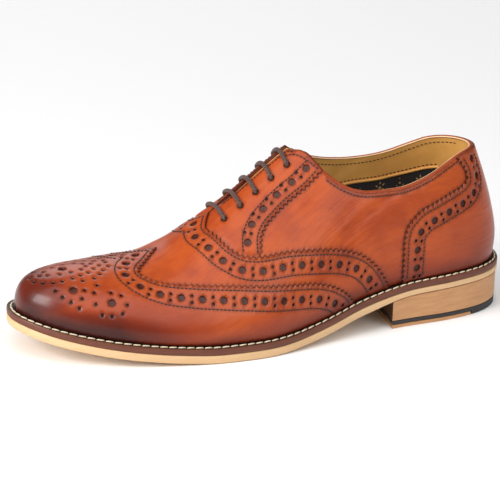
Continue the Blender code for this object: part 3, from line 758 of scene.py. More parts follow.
def shell(name, outer, holes, rows, lifts, finish, slot, replaced=(), spacing=0.0014, unfold=from_chart,
          thin=None, hole_shade=(), shadow_edges=()):
    """Sheet of leather laid over the last, with rounded rims, punched holes and sewn grooves."""
    border = np.concatenate([np.asarray(outer), *holes])
    ring = rings_along([np.asarray(outer), *holes], RIM)
    ring = ring[inside(ring, outer) & (distances(ring, border) > 0.8 * RIM)]
    for hole in holes:
        ring = ring[~inside(ring, hole)]
    fixed = np.concatenate([border, ring, *rows])
    none = np.zeros((0, 2))
    # Edges of overlays lying above this sheet: a painted shadow line is laid along them, and extra points
    # beside them carry it
    shadow_points = np.concatenate([none, *shadow_edges])
    strips = [beside(mark, shift) for mark in shadow_edges for shift in (-MARK_WIDTH, MARK_WIDTH)]
    close = np.concatenate([none, *strips])
    close = close[distances(close, shadow_points) > 0.0005] if len(close) else close
    close = np.concatenate([shadow_points, close])
    if len(close):
        close = close[inside(close, outer) & (distances(close, fixed) > 0.0004)]
    spots = hex_spots(outer, spacing)
    spots = spots[distances(spots, np.concatenate([fixed, close])) > 0.6 * spacing]
    places, triangles = triangulate(outer, holes, rows, np.concatenate([ring, close, spots]))
    angle, rise = unfold(places)
    angle = np.clip(angle, 0.0, pi)
    rise = np.clip(rise, 0.0, 2.0)
    walls = border_sides(triangles)
    at_border = np.zeros(len(places), bool)
    at_border[walls.ravel()] = True
    from_border = np.where(at_border, 0.0, distances(places, border))
    from_row = distances(places, np.concatenate(rows) if len(rows) else ())
    low, top = lifts
    share = np.ones(len(places)) if thin is None else thin(places)
    crease = creases(angle, rise)
    rolled = ROLLED * np.exp(-(from_border / ROLLED_WIDTH)**2)
    upper_lift = top * share - RIM * at_border - rolled - GROOVE * np.exp(-(from_row / GROOVE_WIDTH)**2)
    lower_lift = np.minimum(low * share - rolled, upper_lift - THINNEST)
    over = skin(angle, rise, upper_lift + crease)
    under = skin(angle, rise, lower_lift + crease)
    count = len(places)
    faces = triangles.tolist() + (triangles[:, ::-1] + count).tolist()
    faces += [[b, a, a + count, b + count] for a, b in walls.tolist()]
    # Darker near the cut edges, which is the leather's own edge colour, along the sewn grooves, which is
    # painted shade, and along the edges of overlays above, which is painted shadow
    edge_colour_and_shade = (0.8 * np.exp(-(from_border / EDGE_AND_SHADE_WIDTH)**2) + 0.4 * np.exp(-(from_row / EDGE_AND_SHADE_WIDTH)**2)
            + 0.9 * np.exp(-(distances(places, shadow_points) / (1.5 * EDGE_AND_SHADE_WIDTH))**2))
    masks = {
        "rim": np.minimum(edge_colour_and_shade, 1.0),
        "burnish": burnish(angle, rise),
        # Painted shade: the sheet is darkened round the centres of holes punched in the sheets above it,
        # standing in for the shade inside the holes
        "hole_shade": np.exp(-(distances(places, hole_shade) / HOLE_SHADE_WIDTH)**4),
    }
    masks = {key: np.tile(values, 2) for key, values in masks.items()}
    masks["chart"] = np.tile(places, (2, 1))
    used = np.zeros(2 * count, bool)
    used[triangles.ravel()] = True
    used[count:] = used[:count]
    number = np.cumsum(used) - 1
    faces = [[int(number[k]) for k in face] for face in faces]
    masks = {key: values[used] for key, values in masks.items()}
    mesh = new_mesh(name, np.concatenate([over, under])[used], faces, masks)
    return add_piece(name, mesh, finish, replaced)


def sweep(name, centres, normals, wide, high, finish, replaced=(), sides=12):
    """Closed round bar along a line: wide across it and high along the given normals."""
    along = unit(np.gradient(centres, axis=0))
    across = unit(np.cross(normals, along))
    upright = np.cross(along, across)
    turn = np.arange(sides) * 2 * pi / sides
    wide = np.broadcast_to(wide, len(centres))
    high = np.broadcast_to(high, len(centres))
    points = (centres[:, None, :] + across[:, None, :] * (wide[:, None] * np.cos(turn))[..., None]
              + upright[:, None, :] * (high[:, None] * np.sin(turn))[..., None])
    count = len(centres)
    faces = [[first + (j + 1) % sides, first + sides + (j + 1) % sides, first + sides + j, first + j]
             for first in range(0, (count - 1) * sides, sides) for j in range(sides)]
    faces.append(list(range(sides))[::-1])
    faces.append(list(range((count - 1) * sides, count * sides)))
    tape = np.column_stack([np.repeat(reach_of(centres), sides), np.tile(turn / (2 * pi), count)])
    mesh = new_mesh(name, points.reshape(-1, 3), faces, {"chart": tape})
    return add_piece(name, mesh, finish, replaced)


# Creases and burnish of the upper

# Soft dips and swellings: station, rise, length along and girth across in metres, turn, depth
CREASES = (
    (0.330, 0.780, 0.0060, 0.030, 0.35, -0.00035), (0.352, 0.700, 0.0050, 0.028, 0.40, 0.00025),
    (0.330, 1.230, 0.0060, 0.030, -0.35, -0.00035), (0.300, 0.560, 0.0120, 0.020, 0.50, 0.00030),
    (0.660, 0.430, 0.0300, 0.0035, 0.18, -0.00030), (0.700, 0.380, 0.0340, 0.0030, 0.22, -0.00028),
    (0.640, 0.350, 0.0300, 0.0030, 0.10, -0.00022), (0.780, 0.420, 0.0280, 0.0035, -0.15, -0.00025),
    (0.560, 0.500, 0.0150, 0.0040, -0.35, -0.00025),
    (0.660, 1.570, 0.0300, 0.0035, -0.18, -0.00030),
    (0.720, 1.620, 0.0340, 0.0030, -0.22, -0.00026),
)


def creases(angle, rise):
    """Height of the listed creases at places on the last."""
    places = to_chart(angle, rise)
    total = np.zeros(len(places))
    for station, at, long, wide, turn, depth in CREASES:
        away = places - to_chart(angle_of(station), at)
        along = away[:, 0] * cos(turn) + away[:, 1] * sin(turn)
        across = -away[:, 0] * sin(turn) + away[:, 1] * cos(turn)
        total += depth * np.exp(-(along / long)**2 - (across / wide)**2)
    return total


def burnish(angle, rise):
    """How far the finish is darkened by hand: the toe, the feather edge and the heel."""
    station = station_of(angle)
    t = np.minimum(rise, 2.0 - rise)
    toe = (1.0 - eased(0.0, 0.15, station)) * (1.0 - 0.35 * t)
    feather = (1.0 - eased(0.02, 0.55, t)) * (1.0 - eased(0.14, 0.42, station))
    seam = 0.55 * (1.0 - eased(0.0, 0.16, t))
    heel = 0.50 * (1.0 - eased(0.0, 0.34, t)) * eased(0.74, 0.96, station)
    return np.clip(np.maximum.reduce([toe, feather, seam, heel]), 0.0, 1.0)


# Finishes


def node(tree, kind, inputs=None, **properties):
    """New shader node; an input is given a number, a colour or another node's output."""
    made = tree.nodes.new(kind)
    for key, value in properties.items():
        setattr(made, key, value)
    for socket, value in (inputs or {}).items():
        if isinstance(value, bpy.types.NodeSocket):
            tree.links.new(value, made.inputs[socket])
        else:
            made.inputs[socket].default_value = value
    return made


def blended(tree, share, first, second):
    """Colour between two, by a share; each is a plain colour or another node's output."""
    colours = [value if isinstance(value, bpy.types.NodeSocket) else (*value, 1.0)
               for value in (first, second)]
    return node(tree, "ShaderNodeMix", {0: share, 6: colours[0], 7: colours[1]}, data_type="RGBA").outputs[2]


def mapped(tree, value, low, high, to_low, to_high):
    return node(tree, "ShaderNodeMapRange", {
        "Value": value, "From Min": low, "From Max": high, "To Min": to_low, "To Max": to_high,
    }).outputs["Result"]


def attribute(tree, name):
    return node(tree, "ShaderNodeAttribute", attribute_name=name, attribute_type="GEOMETRY")


def noise(tree, vector, scale, detail=3.0, roughness=0.5):
    return node(tree, "ShaderNodeTexNoise", {
        "Vector": vector, "Scale": scale, "Detail": detail, "Roughness": roughness,
    }).outputs["Fac"]


def stretched(tree, vector, scale):
    return node(tree, "ShaderNodeMapping", {"Vector": vector, "Scale": scale}).outputs["Vector"]


def bumped(tree, height, distance, strength=1.0, onto=None):
    inputs = {"Height": height, "Distance": distance, "Strength": strength}
    if onto is not None:
        inputs["Normal"] = onto
    return node(tree, "ShaderNodeBump", inputs).outputs["Normal"]


def finish(name, roughness, coat=0.0, coat_roughness=0.2, sheen=0.0, specular=0.5):
    made = bpy.data.materials.new(name)
    made.use_nodes = True
    shader = made.node_tree.nodes["Principled BSDF"]
    shader.inputs["Roughness"].default_value = roughness
    shader.inputs["Coat Weight"].default_value = coat
    shader.inputs["Coat Roughness"].default_value = coat_roughness
    shader.inputs["Sheen Weight"].default_value = sheen
    shader.inputs["Specular IOR Level"].default_value = specular
    return made, made.node_tree, shader


TAN = (0.400, 0.058, 0.009)
TAN_LIGHT = (0.540, 0.096, 0.013)
TAN_RED = (0.215, 0.024, 0.006)
BURNT = (0.035, 0.004, 0.002)
# Dark brown of the cut edges, also used for the painted shade in sewn grooves and the painted shadow beside
# overlay edges
EDGE_AND_SHADE_BROWN = (0.020, 0.006, 0.005)
# Colour of the painted shade laid on a layer under the holes punched in the layer above
HOLE_SHADE_BROWN = (0.045, 0.014, 0.011)


# Leather's textures: cycles per metre, on the piece or along and across its chart
CLOUD_SCALE = 38.0
CELL_SCALE = 1500.0
HAIR_SCALE = 900.0
STREAK_SCALES = (90.0, 420.0, 1.0)
FOLD_SCALES = (28.0, 330.0, 1.0)


def leather(name, red, wrinkles, polish=0.24):
    """Waxed calf: mottled dye, hand burnish, dark cut edges, painted shade in sewn grooves and under punched
    holes, painted shadow beside overlay edges, fine grain and a thin polish.
    """
    made, tree, shader = finish(name, 0.36, coat=polish, coat_roughness=0.22, specular=0.22)
    chart = attribute(tree, "chart").outputs["Vector"]
    place = node(tree, "ShaderNodeTexCoord").outputs["Object"]
    clouds = noise(tree, place, CLOUD_SCALE, 4.0, 0.55)
    streaks = noise(tree, stretched(tree, chart, STREAK_SCALES), 1.0, 4.0, 0.6)
    colour = blended(tree, mapped(tree, clouds, 0.38, 0.66, 0.0, 0.65), TAN, TAN_LIGHT)
    colour = blended(tree, mapped(tree, clouds, 0.55, 0.30, 0.0, red), colour, TAN_RED)
    colour = blended(tree, mapped(tree, streaks, 0.45, 0.75, 0.0, 0.30), colour, TAN_RED)
    burnt = node(tree, "ShaderNodeMath", {0: attribute(tree, "burnish").outputs["Fac"],
                                         1: mapped(tree, clouds, 0.3, 0.7, -0.10, 0.10)}, operation="ADD")
    half_way = blended(tree, mapped(tree, burnt.outputs[0], 0.0, 0.6, 0.0, 1.0), colour, TAN_RED)
    colour = blended(tree, mapped(tree, burnt.outputs[0], 0.35, 1.0, 0.0, 0.95), half_way, BURNT)
    # Dark cut edges, which are the leather's own, plus painted shade along sewn grooves and painted shadow
    # beside the edges of overlays above
    colour = blended(tree, attribute(tree, "rim").outputs["Fac"], colour, EDGE_AND_SHADE_BROWN)
    # Painted shade under holes punched in the layer above
    colour = blended(tree, attribute(tree, "hole_shade").outputs["Fac"], colour, HOLE_SHADE_BROWN)
    tree.links.new(colour, shader.inputs["Base Color"])
    tree.links.new(mapped(tree, clouds, 0.3, 0.7, 0.30, 0.42), shader.inputs["Roughness"])
    cells = node(tree, "ShaderNodeTexVoronoi", {"Vector": place, "Scale": CELL_SCALE}).outputs["Distance"]
    grain = bumped(tree, cells, 0.00006, 0.55)
    hair = noise(tree, place, HAIR_SCALE, 5.0, 0.6)
    grain = bumped(tree, hair, 0.00010, 0.45, grain)
    folds = noise(tree, stretched(tree, chart, FOLD_SCALES), 1.0, 3.0, 0.55)
    grain = bumped(tree, folds, 0.00050, wrinkles, grain)
    tree.links.new(grain, shader.inputs["Normal"])
    return made


def plain(name, colour, other, roughness, scale, stretch=(1.0, 1.0, 1.0), sheen=0.0):
    """Finish with two shades in a stretched noise, and a bump from it."""
    made, tree, shader = finish(name, roughness, sheen=sheen)
    place = stretched(tree, node(tree, "ShaderNodeTexCoord").outputs["Object"], stretch)
    shades = noise(tree, place, scale, 5.0, 0.6)
    tree.links.new(blended(tree, mapped(tree, shades, 0.35, 0.65, 0.0, 0.6), colour, other),
                   shader.inputs["Base Color"])
    tree.links.new(mapped(tree, shades, 0.3, 0.7, roughness - 0.06, roughness + 0.06),
                   shader.inputs["Roughness"])
    tree.links.new(bumped(tree, shades, 0.0001, 0.6), shader.inputs["Normal"])
    return made


QUARTER_LEATHER = leather("quarter_leather", red=0.35, wrinkles=1.00)
VAMP_LEATHER = leather("vamp_leather", red=0.45, wrinkles=0.50)
CAP_LEATHER = leather("cap_leather", red=0.45, wrinkles=0.25, polish=0.36)
LINING_LEATHER = plain("lining_leather", (0.86, 0.46, 0.120), (0.68, 0.33, 0.075), 0.50, 60.0)
PIPING = plain("piping", (0.88, 0.62, 0.36), (0.74, 0.46, 0.22), 0.50, 300.0)
WELT_TOP = plain("welt_top", (0.012, 0.006, 0.005), (0.030, 0.012, 0.009), 0.45, 300.0)
WELT_SIDE = plain("welt_side", (0.150, 0.040, 0.017), (0.085, 0.022, 0.010), 0.50, 220.0,
                  stretch=(0.25, 0.25, 3.0))
SOLE_EDGE_LEATHER = plain("sole_leather", (0.72, 0.47, 0.25), (0.62, 0.37, 0.17), 0.52, 120.0,
                          stretch=(0.2, 0.2, 2.5))
HEEL_STACK = plain("heel_stack", (0.56, 0.29, 0.125), (0.43, 0.19, 0.075), 0.52, 160.0,
                   stretch=(0.5, 0.5, 3.0))
BREAST_BROWN = plain("breast_brown", (0.10, 0.035, 0.015), (0.06, 0.020, 0.010), 0.45, 150.0)
RUBBER = plain("black_rubber", (0.028, 0.026, 0.026), (0.018, 0.017, 0.017), 0.62, 500.0)
SOCK_BLACK = plain("sock_black", (0.012, 0.012, 0.015), (0.006, 0.006, 0.008), 0.75, 900.0, sheen=0.2)
SOCK_GOLD = plain("sock_gold", (0.55, 0.36, 0.14), (0.42, 0.26, 0.09), 0.50, 700.0)
DARK_THREAD = plain("dark_thread", (0.014, 0.006, 0.005), (0.030, 0.012, 0.008), 0.60, 1500.0)
CREAM_THREAD = plain("cream_thread", (0.78, 0.66, 0.46), (0.58, 0.44, 0.26), 0.60, 1200.0)
# Painted shade: the tongue is tan leather but is coloured near black, standing in for the shade inside the
# throat slit
TONGUE_PAINTED_SHADE = plain("tongue_leather", (0.030, 0.010, 0.007), (0.015, 0.006, 0.005), 0.55, 200.0)


def lace_cotton():
    """Waxed round lace: two plies of thread crossing on a dark brown cord."""
    made, tree, shader = finish("lace_cotton", 0.55, sheen=0.15)
    tape = attribute(tree, "chart").outputs["Vector"]
    plies = []
    for turns in (1.0, -1.0):
        slanted = node(tree, "ShaderNodeMapping", {"Vector": tape, "Scale": (520.0, 3.0 * turns, 1.0)})
        parts = node(tree, "ShaderNodeSeparateXYZ", {"Vector": slanted.outputs["Vector"]})
        total = node(tree, "ShaderNodeMath", {0: parts.outputs["X"], 1: parts.outputs["Y"]}, operation="ADD")
        angle = node(tree, "ShaderNodeMath", {0: total.outputs[0], 1: 2 * pi}, operation="MULTIPLY")
        plies.append(node(tree, "ShaderNodeMath", {0: angle.outputs[0]}, operation="SINE").outputs[0])
    weave = node(tree, "ShaderNodeMath", {0: plies[0], 1: plies[1]}, operation="MAXIMUM").outputs[0]
    colour = blended(tree, mapped(tree, weave, -0.2, 1.0, 0.0, 1.0), (0.030, 0.012, 0.009),
                     (0.105, 0.045, 0.032))
    tree.links.new(colour, shader.inputs["Base Color"])
    tree.links.new(bumped(tree, weave, 0.00012, 0.8), shader.inputs["Normal"])
    return made


LACE_COTTON = lace_cotton()


# Stitches


# Rings of a stitch: place along it and size, as shares of its length and radius
THREAD_RINGS = ((-0.36, 0.75), (0.0, 1.0), (0.36, 0.75))


def stitch_mesh(name, places, ways, normals, length, radius, finish_used, slot, tilt=0.0):
    """Rows of short threads as one mesh, each lying along its way on the leather."""
    sides = 6
    rings = THREAD_RINGS
    turn = np.arange(sides) * 2 * pi / sides
    form = [(-0.5, 0.0, -0.6)]
    for at, size in rings:
        form += [(at, size * cos(t), size * sin(t)) for t in turn]
    form.append((0.5, 0.0, -0.6))
    form = np.array(form)
    last = len(form) - 1
    faces = [[0, 1 + (j + 1) % sides, 1 + j] for j in range(sides)]
    for ring in range(len(rings) - 1):
        first = 1 + ring * sides
        faces += [[first + j, first + (j + 1) % sides, first + sides + (j + 1) % sides, first + sides + j]
                  for j in range(sides)]
    end = 1 + (len(rings) - 1) * sides
    faces += [[last, end + j, end + (j + 1) % sides] for j in range(sides)]
    ways = unit(ways)
    across = unit(np.cross(normals, ways))
    ways = unit(ways * cos(tilt) + across * sin(tilt))
    across = unit(np.cross(normals, ways))
    upright = np.cross(ways, across)
    points = (places[:, None, :] + ways[:, None, :] * (form[:, 0] * length)[None, :, None]
              + across[:, None, :] * (form[:, 1] * radius)[None, :, None]
              + upright[:, None, :] * (form[:, 2] * radius)[None, :, None])
    count = len(form)
    every = [[k * count + corner for corner in face] for k in range(len(places)) for face in faces]
    mesh = new_mesh(name, points.reshape(-1, 3), every)
    return add_piece(name, mesh, finish_used, sharp=1.2)


def stitched(lines, lift, pitch=STITCH_PITCH, inward=False):
    """Places, ways and normals of the stitches along chart lines, at a lift off the last."""
    found = []
    for line in lines:
        reach = real_reach(line)
        count = int(reach[-1] / pitch)
        if count < 1:
            continue
        middle = (np.arange(count) + 0.5) * pitch + (reach[-1] - count * pitch) / 2.0
        ends = [at_reach(line, reach, middle + shift) for shift in (-WAY_STEP, 0.0, WAY_STEP)]
        laid = []
        for places in ends:
            angle, rise = from_chart(places)
            laid.append(skin(angle, rise, lift + creases(angle, rise)))
        normals = last_normal(*from_chart(ends[1]))
        found.append((laid[1], laid[2] - laid[0], -normals if inward else normals))
    return together(found)


# Outlines of the leather pieces


def seam_line(side, first, last, step=0.0012):
    """Points along the seam with the welt between two angles."""
    angles = np.linspace(first, last, 200)
    rise = sided(0.0, side)
    return spaced(to_chart(angles, np.full(200, rise)), step)


def top_line(side, first, last, step=0.001):
    """Points along the upper's top edge between two angles."""
    corner = turn_of(TOPLINE[2][0])
    angles = np.unique(np.concatenate([np.linspace(first, last, 260), [corner]]))
    angles = angles[(angles >= first) & (angles <= last)]
    rises = topline_rises(angles, side)
    return spaced(to_chart(angles, sided(rises, side)), step)


def back_line(side, step=0.002):
    """Points up the back seam, from the welt to the collar."""
    top = float(topline_rises(np.array([pi]), OUTER)[0])
    t = np.linspace(0.0, top, 40)
    return spaced(to_chart(np.full(40, pi), sided(t, side)), step)


def angle_at(place):
    return float(from_chart(place)[0])


INWARD = {"wing": -1, "vamp": -1, "eyestay": -1, "counter": 1}
EDGES = {"wing": WING_EDGE, "vamp": VAMP_EDGE, "eyestay": EYESTAY_EDGE, "counter": COUNTER_EDGE}
OVER_RIDGE = ("wing", "vamp")

# Of each overlay: where its teeth begin, its two rows of stitches from the cut edge, and its row of
# holes, as distance from the cut edge, pitch and place of the first hole
TEETH_START = {"wing": 0.0, "vamp": 0.014, "eyestay": 0.0, "counter": 0.0}
STITCH_ROWS = {"wing": (0.0025, 0.0132), "vamp": (0.0025, 0.0130), "eyestay": (0.0022, 0.0102),
               "counter": (0.0025, 0.0128)}
HOLE_ROWS = {"wing": (0.0080, 0.0117, 0.0), "vamp": (0.0078, 0.0118, 0.0), "eyestay": (0.0073, 0.0113, 0.002),
             "counter": (0.0088, 0.0107, 0.001)}


def cut_edge(kind, side):
    """An overlay's cut edge on one side, with its small teeth."""
    return gimped(drawn(EDGES[kind], side), TEETH_START[kind])


def offset_row(kind, side, distance):
    """Line inside an overlay at a real distance from the middle of its cut edge."""
    line = drawn(EDGES[kind], side, before=ROW_CARRIED, beyond=ROW_CARRIED)
    line = beside(line, -side * INWARD[kind] * distance)
    if kind in OVER_RIDGE:
        line = from_ridge(line, side)
    return line[sided(from_chart(line)[1], side) > LOWEST_ROW]


def longest_run(line, keep):
    """The longest unbroken part of a line among the points to keep."""
    changes = np.flatnonzero(np.diff(np.concatenate([[0], keep.astype(int), [0]])))
    starts, ends = changes[::2], changes[1::2]
    best = int(np.argmax(ends - starts))
    return line[starts[best]:ends[best]]


def under_top(line, side, clear):
    """The part of a line that lies a real distance or more below the upper's top edge."""
    edge_points = top_line(side, turn_of(SLIT_START), pi)
    below = inside(line, closed_side(side))
    return longest_run(line, below & (distances(line, edge_points) > clear))


def closed_side(side):
    """Outline of the half of the upper behind the throat on one side."""
    throat = turn_of(SLIT_START)
    top = top_line(side, throat, pi, 0.003)
    seam = seam_line(side, 0.05, pi, 0.004)
    back = back_line(side, 0.004)
    return np.vstack([to_chart(0.05, 1.0)[None, :], top, back[::-1], seam[::-1]])


def stitch_rows(kind, side):
    """An overlay's rows of stitches on one side, ending below the top edge."""
    rows = [offset_row(kind, side, distance) for distance in STITCH_ROWS[kind]]
    return rows if kind in OVER_RIDGE else [under_top(row, side, ROWS_CLEAR) for row in rows]


def brogueing(kind, side, cut=None):
    """Hole centres of an overlay's row on one side: large ones, and small pairs between them."""
    distance, pitch, first = HOLE_ROWS[kind]
    line = offset_row(kind, side, distance)
    if cut is not None:
        line = cut(line)
    reach = real_reach(line)
    large = at_reach(line, reach, np.arange(first, reach[-1], pitch))
    between = np.arange(first + pitch / 2.0, reach[-1], pitch)
    across = sideways(line) * -side * INWARD[kind]
    small = [at_reach(line + across * shift, reach, between) for shift in (-SMALL_NEARER, SMALL_FARTHER)]
    if kind in OVER_RIDGE and side == INNER:
        large = large[1:]
    return large, np.concatenate(small)


def hole_loops(large, small, border, unfold=from_chart):
    """Round loops for the holes that lie well inside an outline, and their centres."""
    loops = []
    centres = []
    for places, radius, count in ((large, BIG_HOLE, 16), (small, SMALL_HOLE, 9)):
        for centre in places[distances(places, border) > radius + HOLE_MARGIN]:
            loops.append(round_hole(centre, radius, count, unfold))
            centres.append(centre)
    return loops, np.array(centres)


def medallion():
    found = []
    for table in (MEDALLION_BIG, MEDALLION_SMALL):
        rows = np.array(table)
        places = to_chart(angle_of(rows[:, 0]), rows[:, 1])
        off_ridge = rows[:, 1] < 1.0
        mirrored = to_chart(angle_of(rows[off_ridge, 0]), 2.0 - rows[off_ridge, 1])
        found.append(np.concatenate([places, mirrored]))
    return found


def cap_outline(kind):
    """Outline from the toe back to a gimped edge that runs over the ridge."""
    halves = []
    for side in SIDES:
        line = cut_edge(kind, side)
        line[0, 1] = 0.0
        halves.append((seam_line(side, 0.0, angle_at(line[-1]))[:-1], line))
    (outer_rim, outer_edge), (inner_rim, inner_edge) = halves
    return np.vstack([outer_rim, outer_edge[::-1], inner_edge[1:], inner_rim[:0:-1]])


def upper_outline(front=None, step=0.0012):
    """Outline of the upper round its collar and slit, from the toe or from a front line on each side."""
    throat = turn_of(SLIT_START)
    parts = []
    starts = {side: 0.0 if front is None else angle_at(front[side][-1]) for side in SIDES}
    parts.append(seam_line(OUTER, starts[OUTER], pi, step))
    parts.append(back_line(OUTER)[1:-1])
    outer_top = top_line(OUTER, throat, pi, step)
    inner_top = top_line(INNER, throat, pi, step)
    outer_top[0, 1] = 0.0
    parts.append(outer_top[::-1])
    parts.append(inner_top[1:])
    parts.append(back_line(INNER)[-2:0:-1])
    parts.append(seam_line(INNER, starts[INNER], pi, step)[::-1])
    if front is None:
        parts[-1] = parts[-1][:-1]
    else:
        parts.append(front[INNER][-2::-1])
        parts.append(front[OUTER][1:-1])
    return np.vstack(parts)


def eyelets(side):
    rise = sided(EYELET_RISE, side)
    return to_chart(angle_of(np.array(EYELET_STATIONS)), np.full(len(EYELET_STATIONS), rise))


def eyestay_outline(side):
    """Outline of an eyestay, carried on under the vamp: slit, cut edge, then hidden front."""
    back = drawn(EYESTAY_EDGE, side, beyond=0.009)
    top = top_line(side, turn_of(SLIT_START + 0.004), turn_of(EYESTAY_EDGE[0][0]))
    back = np.vstack([top[-1], back[distances(back, top) > 0.0015]])
    front = beside(drawn(VAMP_EDGE, side, before=0.01), -side * INWARD["vamp"] * EYESTAY_UNDERLAP)
    front = front[side * front[:, 1] > 0.0008]
    front = front[:int(np.argmin(distances(front, back[-1:])))]
    return np.vstack([top[:-1], gimped(back), front[::-1]])


# Angles between which the collar's outer and inner rows of stitches run
COLLAR_SEWN = (turn_of(0.606), turn_of(0.912))
LINING_SEWN = (turn_of(0.60), turn_of(0.99))
CUT_EDGES = {kind: [cut_edge(kind, side) for side in SIDES] for kind in EDGES}
VAMP_CUT = np.vstack([drawn(VAMP_EDGE, OUTER)[::-1], drawn(VAMP_EDGE, INNER)[1:]])
VAMP_AREA = np.vstack([VAMP_CUT, seam_line(INNER, 0.0, angle_at(VAMP_CUT[-1]), 0.003)[::-1],
                       seam_line(OUTER, 0.0, angle_at(VAMP_CUT[0]), 0.003)])


def clear_of_vamp(line, clear):
    """The part of a line that lies a real distance or more behind the vamp's edge."""
    return longest_run(line, ~inside(line, VAMP_AREA) & (distances(line, VAMP_CUT) > clear))


def skived(places):
    """Share of the thickness: full behind the vamp's edge, thinned to a feather under it."""
    signed = distances(places, VAMP_CUT) * np.where(inside(places, VAMP_AREA), -1.0, 1.0)
    return 0.12 + 0.88 * eased(0.0005, 0.0030, signed)


def build_upper():
    thread = []

    # Wing cap and vamp
    centres = {}
    for kind, name, lifts, finish_used, slot, solid in (
            ("wing", "wing_cap_leather", WING, CAP_LEATHER, "toe_leather", "wing_cap"),
            ("vamp", "vamp_leather", VAMP, VAMP_LEATHER, "tan_leather", "upper")):
        outline = cap_outline(kind)
        found = [brogueing(kind, side) for side in SIDES]
        # Under the wing cap, the vamp gets painted shade below the cap's holes and a painted shadow line
        # along the cap's cut edge
        under_cap = {"hole_shade": centres["wing"], "shadow_edges": CUT_EDGES["wing"]} if kind == "vamp" else {}
        holes, centres[kind] = hole_loops(*together(found if under_cap else [medallion(), *found]), outline)
        rows = [row[::2] for side in SIDES for row in stitch_rows(kind, side)]
        shell(name, outline, holes, rows, lifts, finish_used, slot, [solid], **under_cap)
        thread.append(stitched(rows, lifts[1] - SUNK))

    # Eyestays
    hidden = [centres["vamp"]]
    for side, name in ((OUTER, "eyestay_lateral"), (INNER, "eyestay_medial")):
        outline = eyestay_outline(side)

        def open_part(line, side=side):
            return under_top(clear_of_vamp(line, HOLES_CLEAR), side, HOLES_CLEAR)

        holes, found = hole_loops(*brogueing("eyestay", side, open_part), outline)
        hidden.append(found)
        holes += [round_hole(centre, EYELET_RADIUS, 14) for centre in eyelets(side)]
        slit = top_line(side, turn_of(SLIT_START + 0.012), turn_of(BINDING_START - 0.001))
        slit = beside(slit, side * SLIT_ROW)
        arc = under_top(drawn(TOP_ARC, side), side, ROWS_CLEAR / 2.0)
        rows = [clear_of_vamp(row, ROWS_CLEAR / 2.0)[::2]
                for row in (*stitch_rows("eyestay", side), slit, arc)]
        # A painted shadow line runs on the eyestay along the vamp's cut edge
        shell(name + "_leather", outline, holes, rows, EYESTAY, QUARTER_LEATHER, "tan_leather", [name],
              thin=skived, shadow_edges=CUT_EDGES["vamp"])
        thread.append(stitched(rows, EYESTAY[1] - SUNK))

    # Counter, opened round the back of the heel
    parts = []
    found = []
    rear_found = []
    rows = []
    rear_rows = []
    for side in SIDES:
        top = top_line(side, turn_of(COUNTER_EDGE[0][0]), pi)
        cut = drawn(COUNTER_EDGE, side)
        below = inside(cut, closed_side(side)) | (np.arange(len(cut)) > len(cut) // 2)
        cut = np.vstack([top[0], longest_run(cut, below & (distances(cut, top) > 0.0015))])
        seam = seam_line(side, angle_at(cut[-1]), pi)
        parts.append([to_rear(line, side) for line in (seam, gimped(cut), top)])

        def below_top(line, side=side):
            return under_top(line, side, HOLES_CLEAR)

        found.append(brogueing("counter", side, below_top))
        rear_found.append([to_rear(places, side) for places in found[-1]])
        rows += [row[::2] for row in stitch_rows("counter", side)]
        rear_rows += [to_rear(row, side) for row in rows[-2:]]
    (seam_a, cut_a, top_a), (seam_b, cut_b, top_b) = parts
    outline = np.vstack([seam_a, seam_b[-2::-1], cut_b[-2::-1], top_b[1:-1], top_a[::-1], cut_a[1:-1]])
    holes = hole_loops(*together(rear_found), outline, from_rear)[0]
    hidden.append(np.concatenate(together(found)))
    shell("heel_counter_leather", outline, holes, rear_rows, COUNTER, QUARTER_LEATHER, "tan_leather",
          ["heel_counter"], unfold=from_rear)
    thread.append(stitched(rows, COUNTER[1] - SUNK))

    # Quarters, carried on under the vamp
    front = {}
    for side in SIDES:
        line = drawn(VAMP_EDGE, side, before=0.012, beyond=0.012)
        line = beside(line, -side * INWARD["vamp"] * QUARTER_UNDERLAP)
        front[side] = to_seam(from_ridge(line, side), side)
    holes = [round_hole(centre, EYELET_RADIUS * HIDDEN_EYELET, 12)
             for side in SIDES for centre in eyelets(side)]
    collar = [beside(top_line(side, *COLLAR_SEWN), side * COLLAR_ROW)[::2]
              for side in SIDES]
    # The quarters get painted shadow lines beside the vamp, eyestay and counter edges, and painted shade
    # under the holes punched in the pieces above them
    shadow_edges = CUT_EDGES["vamp"] + CUT_EDGES["eyestay"] + CUT_EDGES["counter"]
    shell("quarters", upper_outline(front), holes, collar, QUARTER, QUARTER_LEATHER, "tan_leather", ["upper"],
          hole_shade=np.concatenate(hidden), shadow_edges=shadow_edges)
    thread.append(stitched(collar, QUARTER[1] - SUNK))
    stitch_mesh("upper_stitching", *together(thread), *UPPER_THREAD, DARK_THREAD, "lace")

    # Lining
    shell("lining", upper_outline(step=0.002), holes, [], LINING, LINING_LEATHER, "tan_leather", ["upper"],
          spacing=0.0024)


def add_patch(points, faces, outline, laid, low, high):
    """Thin raised patch with a flat outline, laid on a surface at two heights."""
    first = len(points)
    count = len(outline)
    points.extend(laid(outline, low))
    points.extend(laid(outline, high))
    faces.append([first + count + k for k in range(count)])
    faces.append([first + k for k in reversed(range(count))])
    faces.extend([first + k, first + (k + 1) % count, first + count + (k + 1) % count, first + count + k]
                 for k in range(count))


# Room that a motif of the print needs, and the corners of its diamond
MOTIF_RADIUS = 0.0034
DIAMOND = ((0.0012, 0.0), (0.0, 0.0008), (-0.0012, 0.0), (0.0, -0.0008))


